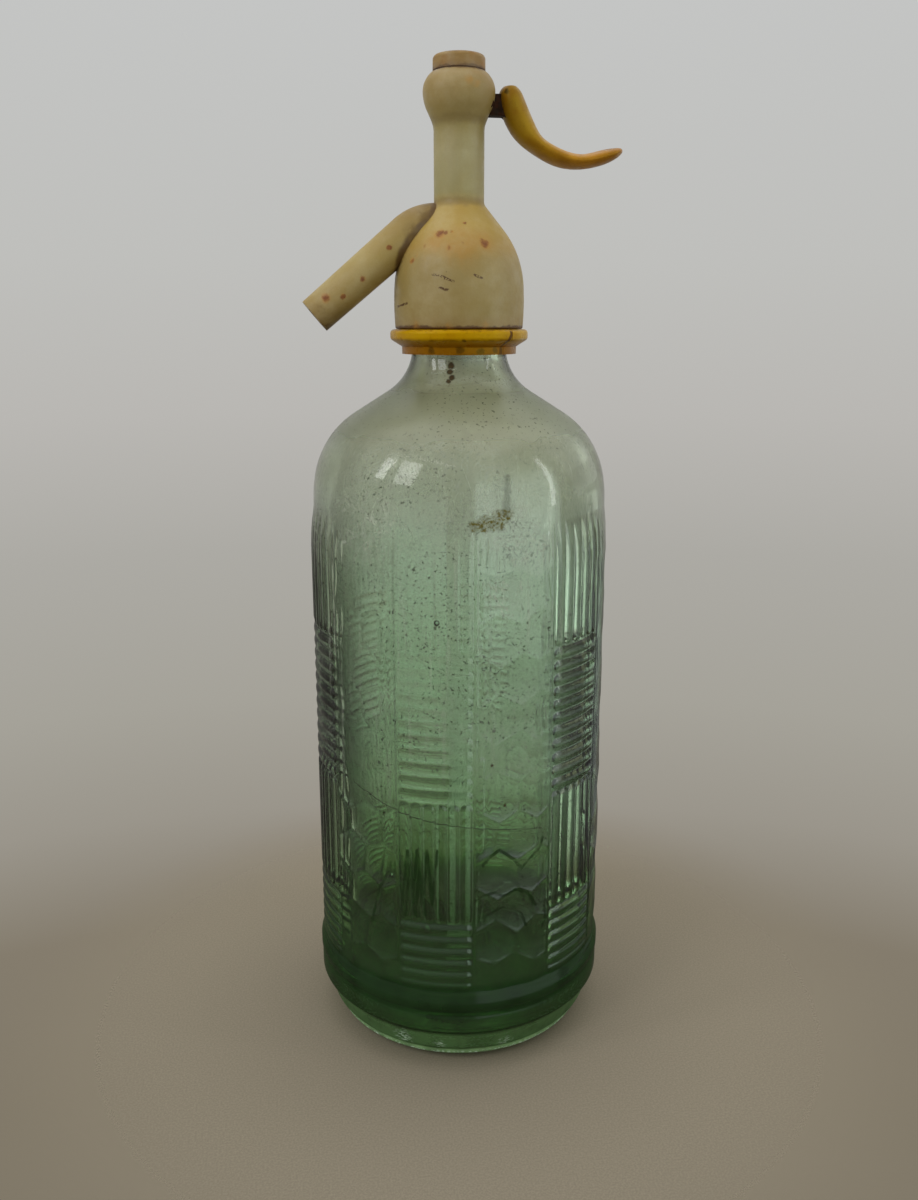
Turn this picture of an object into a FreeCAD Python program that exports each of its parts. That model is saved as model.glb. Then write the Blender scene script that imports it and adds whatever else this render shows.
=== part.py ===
"""Soda siphon: ribbed glass bottle, plastic head with spout, lever valve and dip tube.

Millimetres. Z is the bottle's axis, the origin is the centre of the ring that the bottle stands on,
the spout points along -X and the lever along +X.
"""
import FreeCAD, Part
import Sketcher
import math
import os

FULL_TURN = 360.0
HALF_TURN = 180.0
SIDE_SHARE = 0.998

# Driving dimensions. In each group the heights go up the siphon: the first is measured from the
# table or from what carries the piece, and each one after it from the level before it.
SIZES = {
    # glass bottle, outside, from the table up
    "punt_rise": 8.0,
    "punt_flat_radius": 14.0,
    "punt_round": 12.0,
    "ring_inner_radius": 31.0,
    "heel_radius": 46.0,
    "heel_round": 11.5,
    "foot_radius": 48.5,
    "foot_height": 14.5,
    "foot_step": 2.2,
    "foot_edge_round": 1.2,
    "groove_radius": 47.9,
    "groove_height": 6.7,
    "ledge_radius": 48.8,
    "ledge_height": 2.8,
    "ledge_half_width": 1.4,
    "ledge_top_drop": 2.8,
    "body_radius": 48.0,
    "body_shoulder_height": 151.3,
    "body_shoulder_round": 129.0,
    "shoulder_radius": 43.8,
    "shoulder_height": 23.8,
    "shoulder_round": 28.5,
    "neck_radius": 14.6,
    "neck_root_height": 18.3,
    "neck_root_round": 16.5,
    "lip_bead_width": 1.6,
    "lip_bead_height": 22.1,
    "mouth_height": 5.5,
    "lip_round": 1.2,
    # glass bottle, inside
    "glass_wall": 5.5,
    "floor_thickness": 8.0,
    "floor_round": 12.0,
    "inner_shoulder_drop": 2.0,
    "inner_shoulder_round": 20.0,
    "inner_neck_drop": 3.5,
    "mouth_bore_radius": 10.0,
    # split collar, its own height under the lip, and the thread it shares with the bell
    "collar_height": 15.4,
    "collar_band_radius": 17.8,
    "collar_flange_radius": 21.4,
    "collar_flange_height": 4.4,
    "collar_flange_thickness": 3.0,
    "collar_flange_slope": 2.2,
    "collar_flange_round": 1.3,
    "collar_neck_clearance": 0.4,
    "collar_bead_clearance": 0.1,
    "collar_joint_angle": -50.0,
    "collar_joint_gap_angle": 0.6,
    "collar_sleeve_wall": 1.4,
    "bell_thread_depth": 0.9,
    "bell_thread_pitch": 2.4,
    "bell_thread_land": 0.5,
    "bell_thread_lead_in": 1.0,
    "bell_thread_clearance": 0.15,
    # head: bell, column and bulb, from the bell's edge up
    "bell_gap": 0.1,
    "bell_edge_inset": 0.45,
    "bell_edge_round": 0.6,
    "bell_radius": 20.2,
    "bell_widest_height": 6.7,
    "bell_side_round": 85.0,
    "bell_shoulder_inset": 0.75,
    "bell_shoulder_height": 15.3,
    "bell_shoulder_round": 28.5,
    "bell_mouth_chamfer": 0.8,
    "column_radius": 7.6,
    "column_foot_height": 14.5,
    "column_foot_round": 2.6,
    "bulb_foot_height": 22.1,
    "bulb_foot_round": 7.7,
    "bulb_waist_radius": 10.6,
    "bulb_waist_height": 6.4,
    "bulb_waist_round": 12.5,
    "bulb_crown_radius": 11.0,
    "bulb_crown_height": 5.9,
    "bulb_crown_round": 6.6,
    "bulb_rim_radius": 8.1,
    "bulb_rim_height": 2.3,
    "column_bore_radius": 4.6,
    "chamber_radius": 6.7,
    "chamber_floor_height": 1.4,
    # mouth gasket
    "mouth_gasket_thickness": 2.6,
    "mouth_gasket_bore_clearance": 0.3,
    "mouth_gasket_bell_clearance": 0.35,
    # seat bush, its gasket and the dip tube's fastening
    "seat_spigot_radius": 6.9,
    "seat_spigot_length": 6.8,
    "seat_spigot_clearance": 0.1,
    "seat_nose_clearance": 0.3,
    "seat_nose_height": 0.9,
    "seat_lip_radius": 2.9,
    "seat_lip_rise": 1.2,
    "seat_bore_radius": 2.2,
    "seat_flange_radius": 9.0,
    "seat_flange_thickness": 2.0,
    "seat_gasket_thickness": 1.0,
    "seat_tail_radius": 7.2,
    "seat_tail_length": 7.6,
    "tube_radius": 4.0,
    "tube_bore_radius": 2.8,
    "tube_socket_clearance": 0.1,
    "tube_socket_depth": 6.5,
    "tube_top_clearance": 0.1,
    "tube_floor_clearance": 3.5,
    "tube_cut_angle": 30.0,
    "grommet_radius": 5.5,
    "grommet_thickness": 3.5,
    "grommet_clearance": 0.05,
    "tube_nut_radius": 8.7,
    "tube_nut_height": 6.5,
    "tube_nut_floor": 1.8,
    "tube_nut_clearance": 0.1,
    "tube_nut_hole_clearance": 0.3,
    "tube_nut_edge": 0.6,
    # valve piston, washer and screw
    "seat_gap": 0.05,
    "washer_radius": 3.2,
    "washer_thickness": 2.0,
    "washer_hole_clearance": 0.05,
    "cup_wall": 0.45,
    "cup_depth": 0.7,
    "cup_floor": 1.7,
    "washer_cup_clearance": 0.05,
    "screw_radius": 1.0,
    "screw_hole_clearance": 0.02,
    "screw_head_radius": 1.7,
    "screw_head_thickness": 1.2,
    "screw_grip": 4.6,
    "screw_slot_width": 0.4,
    "screw_slot_depth": 0.5,
    "piston_neck_radius": 1.9,
    "piston_neck_length": 7.6,
    "piston_clearance": 0.08,
    "piston_length": 9.0,
    "piston_chamfer": 0.5,
    "piston_groove_depth": 0.77,
    "piston_groove_width": 1.0,
    "piston_groove_offset": 1.5,
    "piston_groove_spacing": 4.5,
    "o_ring_wire_radius": 0.4,
    "o_ring_clearance": 0.03,
    # spindle with its yoke, guide and spring
    "spindle_radius": 2.2,
    "spindle_clearance": 0.05,
    "spindle_tail_radius": 1.5,
    "spindle_tail_length": 6.0,
    "spindle_tail_clearance": 0.02,
    "guide_radius": 5.5,
    "guide_clearance": 0.1,
    "guide_length": 4.0,
    "yoke_radius": 5.8,
    "yoke_jaw": 1.75,
    "yoke_top_clearance": 0.4,
    "yoke_top_thickness": 1.5,
    "yoke_jaw_reach": 1.6,
    "yoke_slot_back": 2.4,
    "yoke_slot_clearance": 0.3,
    "yoke_spigot_radius": 2.5,
    "yoke_spigot_length": 2.0,
    "spring_radius": 3.9,
    "spring_wire_radius": 0.45,
    "spring_turns": 4.5,
    "spring_seat_gap": 0.05,
    # top cap and its washer; both heights of the cap are measured from its base
    "cap_washer_thickness": 0.5,
    "cap_washer_inset": 0.4,
    "cap_base_radius": 7.8,
    "cap_top_radius": 7.75,
    "cap_edge_height": 4.1,
    "cap_edge_round": 1.2,
    "cap_height": 4.6,
    "cap_skirt_radius": 6.6,
    "cap_skirt_clearance": 0.1,
    "cap_skirt_depth": 4.1,
    "cap_bore_radius": 5.2,
    "cap_crown": 1.8,
    "cap_thread_depth": 0.5,
    "cap_thread_pitch": 1.6,
    "cap_thread_land": 0.3,
    "cap_thread_lead_in": 0.7,
    "cap_thread_clearance": 0.1,
    # lever arm, pin and handle; the tang's places are measured from the pivot
    "pivot_inset": 2.1,
    "pivot_height": 4.5,
    "pin_radius": 1.25,
    "pin_fit": 0.02,
    "pin_clearance": 0.05,
    "pin_near_length": 4.4,
    "pin_far_length": 5.2,
    "arm_thickness": 4.0,
    "arm_slot_clearance": 0.4,
    "nose_radius": 1.9,
    "nose_clearance": 0.15,
    "nose_offset": 0.3,
    "arm_waist": 1.3,
    "boss_radius": 3.0,
    "slot_drop": 3.7,
    "slot_rise": 3.6,
    "tang_root_reach": 4.7,
    "tang_shoulder_reach": 8.1,
    "tang_end_reach": 11.1,
    "tang_end_height": -6.4,
    "tang_half_width": 1.4,
    "tang_fall": 58.0,
    "handle_half_width": 5.6,
    # spout, its axis above the valve seat
    "spout_height": 5.9,
    "spout_corner_reach": 12.1,
    "spout_bend_radius": 14.0,
    "spout_fall": 40.0,
    "spout_length": 42.3,
    "spout_root_radius": 6.0,
    "spout_mouth_radius": 5.55,
    "spout_bore_radius": 3.2,
}

# Whole numbers that set how often a feature repeats.
BELL_THREAD_COUNT = 3
CAP_THREAD_COUNT = 2

# Sections of the handle, from its upper end to its tip: reach and height of the centre from the
# pivot, half the thickness, and the width as a share of the full width.
SECTION_VALUES = ("reach", "height", "half_thickness", "share")
HANDLE_SECTIONS = (
    (6.75, 5.15, 2.0, 0.6),
    (6.75, 3.4, 3.3, 0.78),
    (7.9, -0.3, 3.9, 0.88),
    (12.5, -8.2, 3.23, 0.98),
    (16.7, -11.6, 2.5, 1),
    (30.1, -15, 2.15, 1),
    (35.6, -13.8, 2.1, 0.96),
    (39.4, -12.6, 1.6, 0.82),
    (41.4, -11.8, 0.85, 0.45),
)

doc = FreeCAD.newDocument("soda_siphon")
sheet = doc.addObject("Spreadsheet::Sheet", "sizes")


class Size:
    """A number together with the sheet expression that gives it."""

    def __init__(self, value, text):
        self.value = float(value)
        self.text = text

    def __add__(self, other):
        other = size(other)
        return Size(self.value + other.value, f"({self.text} + {other.text})")

    def __sub__(self, other):
        other = size(other)
        return Size(self.value - other.value, f"({self.text} - {other.text})")

    def __mul__(self, other):
        other = size(other)
        return Size(self.value * other.value, f"({self.text} * {other.text})")

    def __truediv__(self, other):
        other = size(other)
        return Size(self.value / other.value, f"({self.text} / {other.text})")

    def __neg__(self):
        return Size(-self.value, f"(0 - {self.text})")


def size(number):
    """The same value as a Size, whether it comes as a Size or as a plain number."""
    return number if isinstance(number, Size) else Size(number, f"{number:g}")


def sine(angle):
    return Size(math.sin(math.radians(angle.value)), f"sin({angle.text} * 1 deg)")


def cosine(angle):
    return Size(math.cos(math.radians(angle.value)), f"cos({angle.text} * 1 deg)")


def tangent(angle):
    return Size(math.tan(math.radians(angle.value)), f"tan({angle.text} * 1 deg)")


class Sizes:
    """Every driving dimension as a Size, under its alias."""


S = Sizes()
for i, section in enumerate(HANDLE_SECTIONS):
    SIZES.update({f"handle_{i}_{name}": number for name, number in zip(SECTION_VALUES, section)})
for row, (alias, number) in enumerate(SIZES.items(), start=1):
    sheet.set(f"A{row}", f"{number:g}")
    sheet.setAlias(f"A{row}", alias)
    setattr(S, alias, Size(number, f"sizes.{alias}"))
doc.recompute()

# ---------------------------------------------------------------- sizes that follow from others
# A level is measured from the table.
ORIGIN = size(0)

groove_level = S.foot_height + S.groove_height
foot_side_level = groove_level - S.foot_edge_round
ledge_level = groove_level + S.ledge_height
body_shoulder_level = ledge_level + S.body_shoulder_height
shoulder_level = body_shoulder_level + S.shoulder_height
neck_root_level = shoulder_level + S.neck_root_height
lip_bead_level = neck_root_level + S.lip_bead_height
lip_bead_radius = S.neck_radius + S.lip_bead_width
mouth_level = lip_bead_level + S.mouth_height
floor_level = S.punt_rise + S.floor_thickness
cavity_radius = S.body_radius - S.glass_wall
inner_shoulder_radius = S.shoulder_radius - S.glass_wall
inner_shoulder_level = shoulder_level - S.inner_shoulder_drop

sleeve_top = lip_bead_level - S.collar_bead_clearance
sleeve_bore_radius = S.neck_radius + S.collar_neck_clearance
collar_level = sleeve_top - S.collar_height
flange_bottom = collar_level + S.collar_flange_height
flange_top = flange_bottom + S.collar_flange_thickness
bell_edge_level = flange_top + S.bell_gap
bell_thread_root = sleeve_bore_radius + S.collar_sleeve_wall
bell_thread_start = bell_edge_level + S.bell_thread_lead_in
bell_bore_radius = bell_thread_root + S.bell_thread_clearance
bell_ceiling = mouth_level + S.mouth_gasket_thickness

bell_widest_level = bell_edge_level + S.bell_widest_height
bell_shoulder_level = bell_widest_level + S.bell_shoulder_height
column_foot_level = bell_shoulder_level + S.column_foot_height
bulb_foot_level = column_foot_level + S.bulb_foot_height
bulb_waist_level = bulb_foot_level + S.bulb_waist_height
bulb_crown_level = bulb_waist_level + S.bulb_crown_height
bulb_rim_level = bulb_crown_level + S.bulb_rim_height
chamber_floor_level = bulb_foot_level + S.chamber_floor_height
pivot_level = chamber_floor_level + S.pivot_height
pivot_reach = S.bulb_waist_radius - S.pivot_inset

seat_flange_top = bell_ceiling - S.seat_gasket_thickness
seat_socket_top = bell_ceiling + S.seat_spigot_length
seat_level = seat_socket_top + S.seat_nose_height + S.seat_lip_rise
seat_tail_bottom = seat_flange_top - S.seat_flange_thickness - S.seat_tail_length
tube_top = seat_tail_bottom + S.tube_socket_depth - S.tube_top_clearance
tube_bottom = floor_level + S.tube_floor_clearance

washer_bottom = seat_level + S.seat_gap
washer_top = washer_bottom + S.washer_thickness
cup_top = washer_top + S.cup_floor - S.cup_depth
piston_bottom = cup_top + S.piston_neck_length
piston_top = piston_bottom + S.piston_length
piston_radius = S.column_bore_radius - S.piston_clearance
cup_radius = S.washer_radius + S.washer_cup_clearance + S.cup_wall

slot_half_height = S.nose_radius + S.nose_clearance
yoke_slot_floor = pivot_level - slot_half_height
yoke_slot_roof = pivot_level + slot_half_height
yoke_bottom = yoke_slot_floor - S.yoke_jaw
yoke_top = yoke_slot_roof + S.yoke_top_thickness
yoke_top_radius = S.cap_bore_radius - S.yoke_top_clearance
yoke_half_slot = S.arm_thickness / 2 + S.yoke_slot_clearance

cap_base_level = bulb_rim_level + S.cap_washer_thickness
cap_edge_level = cap_base_level + S.cap_edge_height
cap_top = cap_base_level + S.cap_height
cap_skirt_bottom = cap_base_level - S.cap_skirt_depth
cap_ceiling = cap_top - S.cap_crown
cap_thread_start = cap_skirt_bottom + S.cap_thread_lead_in
head_thread_radius = S.cap_skirt_radius + S.cap_skirt_clearance

spout_level = seat_level + S.spout_height
bend_tangent = S.spout_bend_radius * tangent(S.spout_fall / 2)
bend_reach = S.spout_corner_reach - bend_tangent
bend_centre_level = spout_level - S.spout_bend_radius
bend_end_reach = bend_reach + S.spout_bend_radius * sine(S.spout_fall)
bend_end_level = bend_centre_level + S.spout_bend_radius * cosine(S.spout_fall)
spout_straight = S.spout_length - bend_tangent


# ---------------------------------------------------------------- drawing helpers
def half_angle(before, corner, after):
    return (before - corner).getAngle(after - corner) / 2


def tangent_points(before, corner, after, radius):
    """Where a rounding of this radius leaves the two sides that meet at a corner, and its centre."""
    to_before = (before - corner).normalize()
    to_after = (after - corner).normalize()
    half = half_angle(before, corner, after)
    run = radius / math.tan(half)
    middle = (to_before + to_after).normalize()
    return corner + to_before * run, corner + to_after * run, corner + middle * (radius / math.sin(half))


def fitted_roundings(corners, spots):
    """Each corner's rounding, made smaller only where two roundings would meet on a short side."""
    count = len(corners)
    runs = [
        corner[2].value / math.tan(half_angle(spots[i - 1], spots[i], spots[(i + 1) % count]))
        if len(corner) == 3
        else 0.0
        for i, corner in enumerate(corners)
    ]
    roundings = {}
    for i, corner in enumerate(corners):
        if len(corner) < 3:
            continue
        share = 1.0
        for j in (i - 1, (i + 1) % count):
            side = (spots[j] - spots[i]).Length
            share = min(share, SIDE_SHARE * side / (runs[i] + runs[j]))
        roundings[i] = corner[2] if share >= 1 else corner[2] * share
    return roundings


def pin_point(sketch, geometry, place, across, up):
    """Hold one point of a sketch at two distances from the sketch's origin."""
    for kind, distance, axis in (("DistanceX", across, -2), ("DistanceY", up, -1)):
        if distance.value == 0:
            sketch.addConstraint(Sketcher.Constraint("PointOnObject", geometry, place, axis))
            continue
        index = sketch.addConstraint(Sketcher.Constraint(kind, -1, 1, geometry, place, distance.value))
        sketch.setExpression(f"Constraints[{index}]", distance.text)


def outline(sketch, corners):
    """Close an outline of straight sides; a corner is (across, up) or (across, up, rounding)."""
    corners = [tuple(size(number) for number in corner) for corner in corners]
    spots = [FreeCAD.Vector(corner[0].value, corner[1].value, 0) for corner in corners]
    count = len(corners)
    arrive, leave, arcs = list(spots), list(spots), {}
    roundings = fitted_roundings(corners, spots)
    for i, rounding in roundings.items():
        ends = tangent_points(spots[i - 1], spots[i], spots[(i + 1) % count], rounding.value)
        arrive[i], leave[i], arcs[i] = ends
    sides = [
        sketch.addGeometry(Part.LineSegment(leave[i], arrive[(i + 1) % count])) for i in range(count)
    ]
    for i, corner in enumerate(corners):
        side_in, side_out = sides[i - 1], sides[i]
        if i not in arcs:
            sketch.addConstraint(Sketcher.Constraint("Coincident", side_in, 2, side_out, 1))
            pin_point(sketch, side_out, 1, corner[0], corner[1])
            continue
        centre = arcs[i]
        start, end = arrive[i] - centre, leave[i] - centre
        turns_left = start.cross(end).z > 0
        first, last = (start, end) if turns_left else (end, start)
        circle = Part.Circle(centre, FreeCAD.Vector(0, 0, 1), roundings[i].value)
        arc = sketch.addGeometry(
            Part.ArcOfCircle(circle, math.atan2(first.y, first.x), math.atan2(last.y, last.x))
        )
        arc_in, arc_out = (1, 2) if turns_left else (2, 1)
        sketch.addConstraint(Sketcher.Constraint("Tangent", side_in, 2, arc, arc_in))
        sketch.addConstraint(Sketcher.Constraint("Tangent", arc, arc_out, side_out, 1))
        radius = sketch.addConstraint(Sketcher.Constraint("Radius", arc, roundings[i].value))
        sketch.setExpression(f"Constraints[{radius}]", roundings[i].text)
        point = sketch.addGeometry(Part.Point(spots[i]), True)
        pin_point(sketch, point, 1, corner[0], corner[1])
        for side in (side_in, side_out):
            sketch.addConstraint(Sketcher.Constraint("PointOnObject", point, 1, side))


def new_body(name):
    body = doc.addObject("PartDesign::Body", name)
    body.Label = name
    return body


def front_sketch(body, name):
    """A sketch on the body's XZ plane: across is X, up is Z."""
    sketch = body.newObject("Sketcher::SketchObject", name)
    plane = [feature for feature in body.Origin.OriginFeatures if feature.Role == "XZ_Plane"][0]
    sketch.AttachmentSupport = [(plane, "")]
    sketch.MapMode = "FlatFace"
    return sketch


def turned(name, corners, angle=None):
    """A body turned about Z from an outline of radii and heights."""
    body = new_body(name)
    sketch = front_sketch(body, name + "_profile")
    outline(sketch, corners)
    turn = body.newObject("PartDesign::Revolution", name + "_turn")
    turn.Profile = sketch
    turn.ReferenceAxis = (sketch, ["V_Axis"])
    turn.Angle = FULL_TURN
    if angle is not None:
        turn.setExpression("Angle", angle.text)
    sketch.Visibility = False
    body.Tip = turn
    return body


def plate(name, corners, thickness):
    """A body padded both ways in Y from an outline of reaches and heights."""
    body = new_body(name)
    sketch = front_sketch(body, name + "_profile")
    outline(sketch, corners)
    pad = body.newObject("PartDesign::Pad", name + "_pad")
    pad.Profile = sketch
    pad.Midplane = True
    pad.setExpression("Length", thickness.text)
    body.Tip = pad
    return body


def bind(item, **values):
    """Bind properties of an object to sizes; base_x, base_y and base_z are its place."""
    for key, value in values.items():
        path = "Placement.Base." + key[-1] if key.startswith("base_") else key
        item.setExpression(path, size(value).text)
    return item


def rod(name, radius, length, axis, angle, **place):
    """A cylinder whose own Z is turned by an angle about an axis."""
    item = doc.addObject("Part::Cylinder", name)
    item.Placement.Rotation = FreeCAD.Rotation(axis, angle)
    return bind(item, Radius=radius, Height=length, **place)


def lever_rod(name, radius, near, far, reach):
    """A cylinder along Y at the hinge's height, from near on the -Y side to far on the +Y side."""
    return rod(
        name,
        radius,
        near + far,
        FreeCAD.Vector(1, 0, 0),
        -90,
        base_x=reach,
        base_y=-near,
        base_z=pivot_level,
    )


def block(name, low, high):
    """A box between two corners."""
    item = doc.addObject("Part::Box", name)
    bind(item, base_x=low[0], base_y=low[1], base_z=low[2])
    return bind(
        item,
        Length=size(high[0]) - low[0],
        Width=size(high[1]) - low[1],
        Height=size(high[2]) - low[2],
    )


def fused(name, shapes):
    item = doc.addObject("Part::MultiFuse", name)
    item.Shapes = shapes
    return item


def cut(name, base, tool):
    item = doc.addObject("Part::Cut", name)
    item.Base = base
    item.Tool = tool
    item.Label = name
    return item


def threads(root, depth, start, pitch, land, count, clearance=0):
    """Corners of ring-shaped threads, going up; a clearance widens them into the mating grooves."""
    clearance = size(clearance)
    corners = []
    for turn in range(count):
        bottom = start + pitch * turn
        corners += [
            (root + clearance, bottom - clearance),
            (root + depth + clearance, bottom + depth / 2 - clearance),
            (root + depth + clearance, bottom + depth / 2 + land + clearance),
            (root + clearance, bottom + depth + land + clearance),
        ]
    return corners


# ---------------------------------------------------------------- the bottle and its collar
def make_bottle():
    """Pressed glass: stepped foot, straight body, round shoulder and a beaded neck."""
    outside = [
        (ORIGIN, S.punt_rise),
        (S.punt_flat_radius, S.punt_rise, S.punt_round),
        (S.ring_inner_radius, ORIGIN),
        (S.heel_radius, ORIGIN, S.heel_round),
        (S.heel_radius, S.foot_height - S.foot_step),
        (S.foot_radius, S.foot_height, S.foot_edge_round),
        (S.foot_radius, foot_side_level),
        (S.groove_radius, groove_level),
        (S.ledge_radius, ledge_level - S.ledge_half_width),
        (S.ledge_radius, ledge_level + S.ledge_half_width),
        (S.body_radius, ledge_level + S.ledge_top_drop),
        (S.body_radius, body_shoulder_level, S.body_shoulder_round),
        (S.shoulder_radius, shoulder_level, S.shoulder_round),
        (S.neck_radius, neck_root_level, S.neck_root_round),
        (S.neck_radius, lip_bead_level),
        (lip_bead_radius, lip_bead_level),
        (lip_bead_radius, mouth_level, S.lip_round),
    ]
    inside = [
        (S.mouth_bore_radius, mouth_level, S.lip_round),
        (S.mouth_bore_radius, neck_root_level - S.inner_neck_drop, S.neck_root_round),
        (inner_shoulder_radius, inner_shoulder_level, S.inner_shoulder_round),
        (cavity_radius, body_shoulder_level, S.body_shoulder_round - S.glass_wall),
        (cavity_radius, floor_level, S.floor_round),
        (ORIGIN, floor_level),
    ]
    return turned("bottle", outside + inside)


def make_collar_half(name, turn):
    """One half of the split collar: flange under the bell, threaded sleeve up to the lip's bead."""
    corners = [
        (sleeve_bore_radius, collar_level),
        (S.collar_band_radius, collar_level),
        (S.collar_band_radius, flange_bottom - S.collar_flange_slope),
        (S.collar_flange_radius, flange_bottom, S.collar_flange_round),
        (S.collar_flange_radius, flange_top, S.collar_flange_round),
        (bell_thread_root, flange_top),
    ]
    corners += threads(
        bell_thread_root,
        S.bell_thread_depth,
        bell_thread_start,
        S.bell_thread_pitch,
        S.bell_thread_land,
        BELL_THREAD_COUNT,
    )
    corners += [
        (bell_thread_root, sleeve_top),
        (sleeve_bore_radius, sleeve_top),
    ]
    half = turned(name, corners, size(HALF_TURN) - S.collar_joint_gap_angle)
    half.Placement.Rotation = FreeCAD.Rotation(FreeCAD.Vector(0, 0, 1), 1)
    half.setExpression("Placement.Rotation.Angle", f"({S.collar_joint_angle.text} + {turn:g}) * 1 deg")
    return half


# ---------------------------------------------------------------- the head
def head_outside():
    """Radii and heights of the head's outer surface, going up from the bell's edge."""
    return [
        (S.bell_radius - S.bell_edge_inset, bell_edge_level, S.bell_edge_round),
        (S.bell_radius, bell_widest_level, S.bell_side_round),
        (S.bell_radius - S.bell_shoulder_inset, bell_shoulder_level, S.bell_shoulder_round),
        (S.column_radius, column_foot_level, S.column_foot_round),
        (S.column_radius, bulb_foot_level, S.bulb_foot_round),
        (S.bulb_waist_radius, bulb_waist_level, S.bulb_waist_round),
        (S.bulb_crown_radius, bulb_crown_level, S.bulb_crown_round),
        (S.bulb_rim_radius, bulb_rim_level),
    ]


def spout_run(name, root_radius, mouth_radius):
    """Stub, bend and straight run of the spout as one solid: its outside or its bore."""
    stub = rod(
        name + "_stub",
        root_radius,
        bend_reach - S.column_bore_radius / 2,
        FreeCAD.Vector(0, 1, 0),
        90,
        base_x=-bend_reach,
        base_z=spout_level,
    )
    bend = doc.addObject("Part::Torus", name + "_bend")
    turn = FreeCAD.Matrix(0, -1, 0, 0, 0, 0, -1, 0, 1, 0, 0, 0, 0, 0, 0, 1)
    bend.Placement = FreeCAD.Placement(turn)
    bind(
        bend,
        Radius1=S.spout_bend_radius,
        Radius2=root_radius,
        Angle3=S.spout_fall,
        base_x=-bend_reach,
        base_z=bend_centre_level,
    )
    run = doc.addObject("Part::Cone", name + "_run")
    run.Placement.Rotation = FreeCAD.Rotation(FreeCAD.Vector(0, -1, 0), 1)
    run.setExpression("Placement.Rotation.Angle", f"(90 + {S.spout_fall.text}) * 1 deg")
    bind(
        run,
        Radius1=root_radius,
        Radius2=mouth_radius,
        Height=spout_straight,
        base_x=-bend_end_reach,
        base_z=bend_end_level,
    )
    return fused(name, [stub, bend, run])


def make_head(spout_bore):
    """Bell, column and bulb in one moulding, bored for the valve, the lever and the outlet."""
    inside = [(head_thread_radius, bulb_rim_level)]
    inside += reversed(
        threads(
            head_thread_radius - S.cap_thread_clearance,
            S.cap_thread_depth,
            cap_thread_start,
            S.cap_thread_pitch,
            S.cap_thread_land,
            CAP_THREAD_COUNT,
            S.cap_thread_clearance,
        )
    )
    inside += [
        (S.chamber_radius, chamber_floor_level),
        (S.guide_radius + S.guide_clearance, chamber_floor_level),
        (S.guide_radius + S.guide_clearance, chamber_floor_level - S.guide_length),
        (S.column_bore_radius, chamber_floor_level - S.guide_length),
        (S.column_bore_radius, seat_socket_top),
        (S.seat_spigot_radius + S.seat_spigot_clearance, seat_socket_top),
        (S.seat_spigot_radius + S.seat_spigot_clearance, bell_ceiling),
        (bell_bore_radius, bell_ceiling),
    ]
    inside += reversed(
        threads(
            bell_thread_root,
            S.bell_thread_depth,
            bell_thread_start,
            S.bell_thread_pitch,
            S.bell_thread_land,
            BELL_THREAD_COUNT,
            S.bell_thread_clearance,
        )
    )
    inside += [
        (bell_bore_radius, bell_edge_level + S.bell_mouth_chamfer),
        (bell_bore_radius + S.bell_mouth_chamfer, bell_edge_level),
    ]
    turned_head = turned("head_turned", head_outside() + inside)
    half_slot = S.arm_thickness / 2 + S.arm_slot_clearance
    lever_slot = block(
        "lever_slot",
        (S.column_bore_radius, -half_slot, pivot_level - S.slot_drop),
        (S.bulb_crown_radius * 2, half_slot, pivot_level + S.slot_rise),
    )
    pin_hole = lever_rod(
        "pin_hole", S.pin_radius + S.pin_fit, S.pin_near_length, S.bulb_crown_radius, pivot_reach
    )
    return cut("head_body", turned_head, fused("head_cutters", [spout_bore, lever_slot, pin_hole]))


def make_spout(spout_bore):
    """Bent tube, coped to sit on the column and the bell's shoulder."""
    outside = spout_run("spout_outside", S.spout_root_radius, S.spout_mouth_radius)
    solid_head = turned(
        "head_outside_solid",
        head_outside() + [(ORIGIN, bulb_rim_level), (ORIGIN, bell_edge_level)],
    )
    return cut("spout", cut("spout_coped", outside, solid_head), spout_bore)


def make_mouth_gasket():
    inner = S.mouth_bore_radius + S.mouth_gasket_bore_clearance
    outer = bell_bore_radius - S.mouth_gasket_bell_clearance
    return turned(
        "mouth_gasket",
        [(inner, mouth_level), (outer, mouth_level), (outer, bell_ceiling), (inner, bell_ceiling)],
    )


# ---------------------------------------------------------------- seat bush and dip tube
def make_seat_bush():
    """Screwed into the head: valve seat on top, flange below the ceiling, socket for the dip tube."""
    seat_flange_bottom = seat_flange_top - S.seat_flange_thickness
    seat_nose_radius = S.column_bore_radius - S.seat_nose_clearance
    socket_radius = S.tube_radius + S.tube_socket_clearance
    recess_radius = S.grommet_radius + S.grommet_clearance
    grommet_top = seat_tail_bottom + S.grommet_thickness
    return turned(
        "seat_bush",
        [
            (S.seat_bore_radius, seat_level),
            (S.seat_bore_radius, seat_tail_bottom + S.tube_socket_depth),
            (socket_radius, seat_tail_bottom + S.tube_socket_depth),
            (socket_radius, grommet_top),
            (recess_radius, grommet_top),
            (recess_radius, seat_tail_bottom),
            (S.seat_tail_radius, seat_tail_bottom),
            (S.seat_tail_radius, seat_flange_bottom),
            (S.seat_flange_radius, seat_flange_bottom),
            (S.seat_flange_radius, seat_flange_top),
            (S.seat_spigot_radius, seat_flange_top),
            (S.seat_spigot_radius, seat_socket_top - S.seat_spigot_clearance),
            (seat_nose_radius, seat_socket_top - S.seat_spigot_clearance),
            (seat_nose_radius, seat_socket_top + S.seat_nose_height),
            (S.seat_lip_radius, seat_level),
        ],
    )


def make_seat_gasket():
    inner = S.seat_spigot_radius + S.seat_spigot_clearance
    return turned(
        "seat_gasket",
        [
            (inner, seat_flange_top),
            (S.seat_flange_radius, seat_flange_top),
            (S.seat_flange_radius, bell_ceiling),
            (inner, bell_ceiling),
        ],
    )


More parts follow.
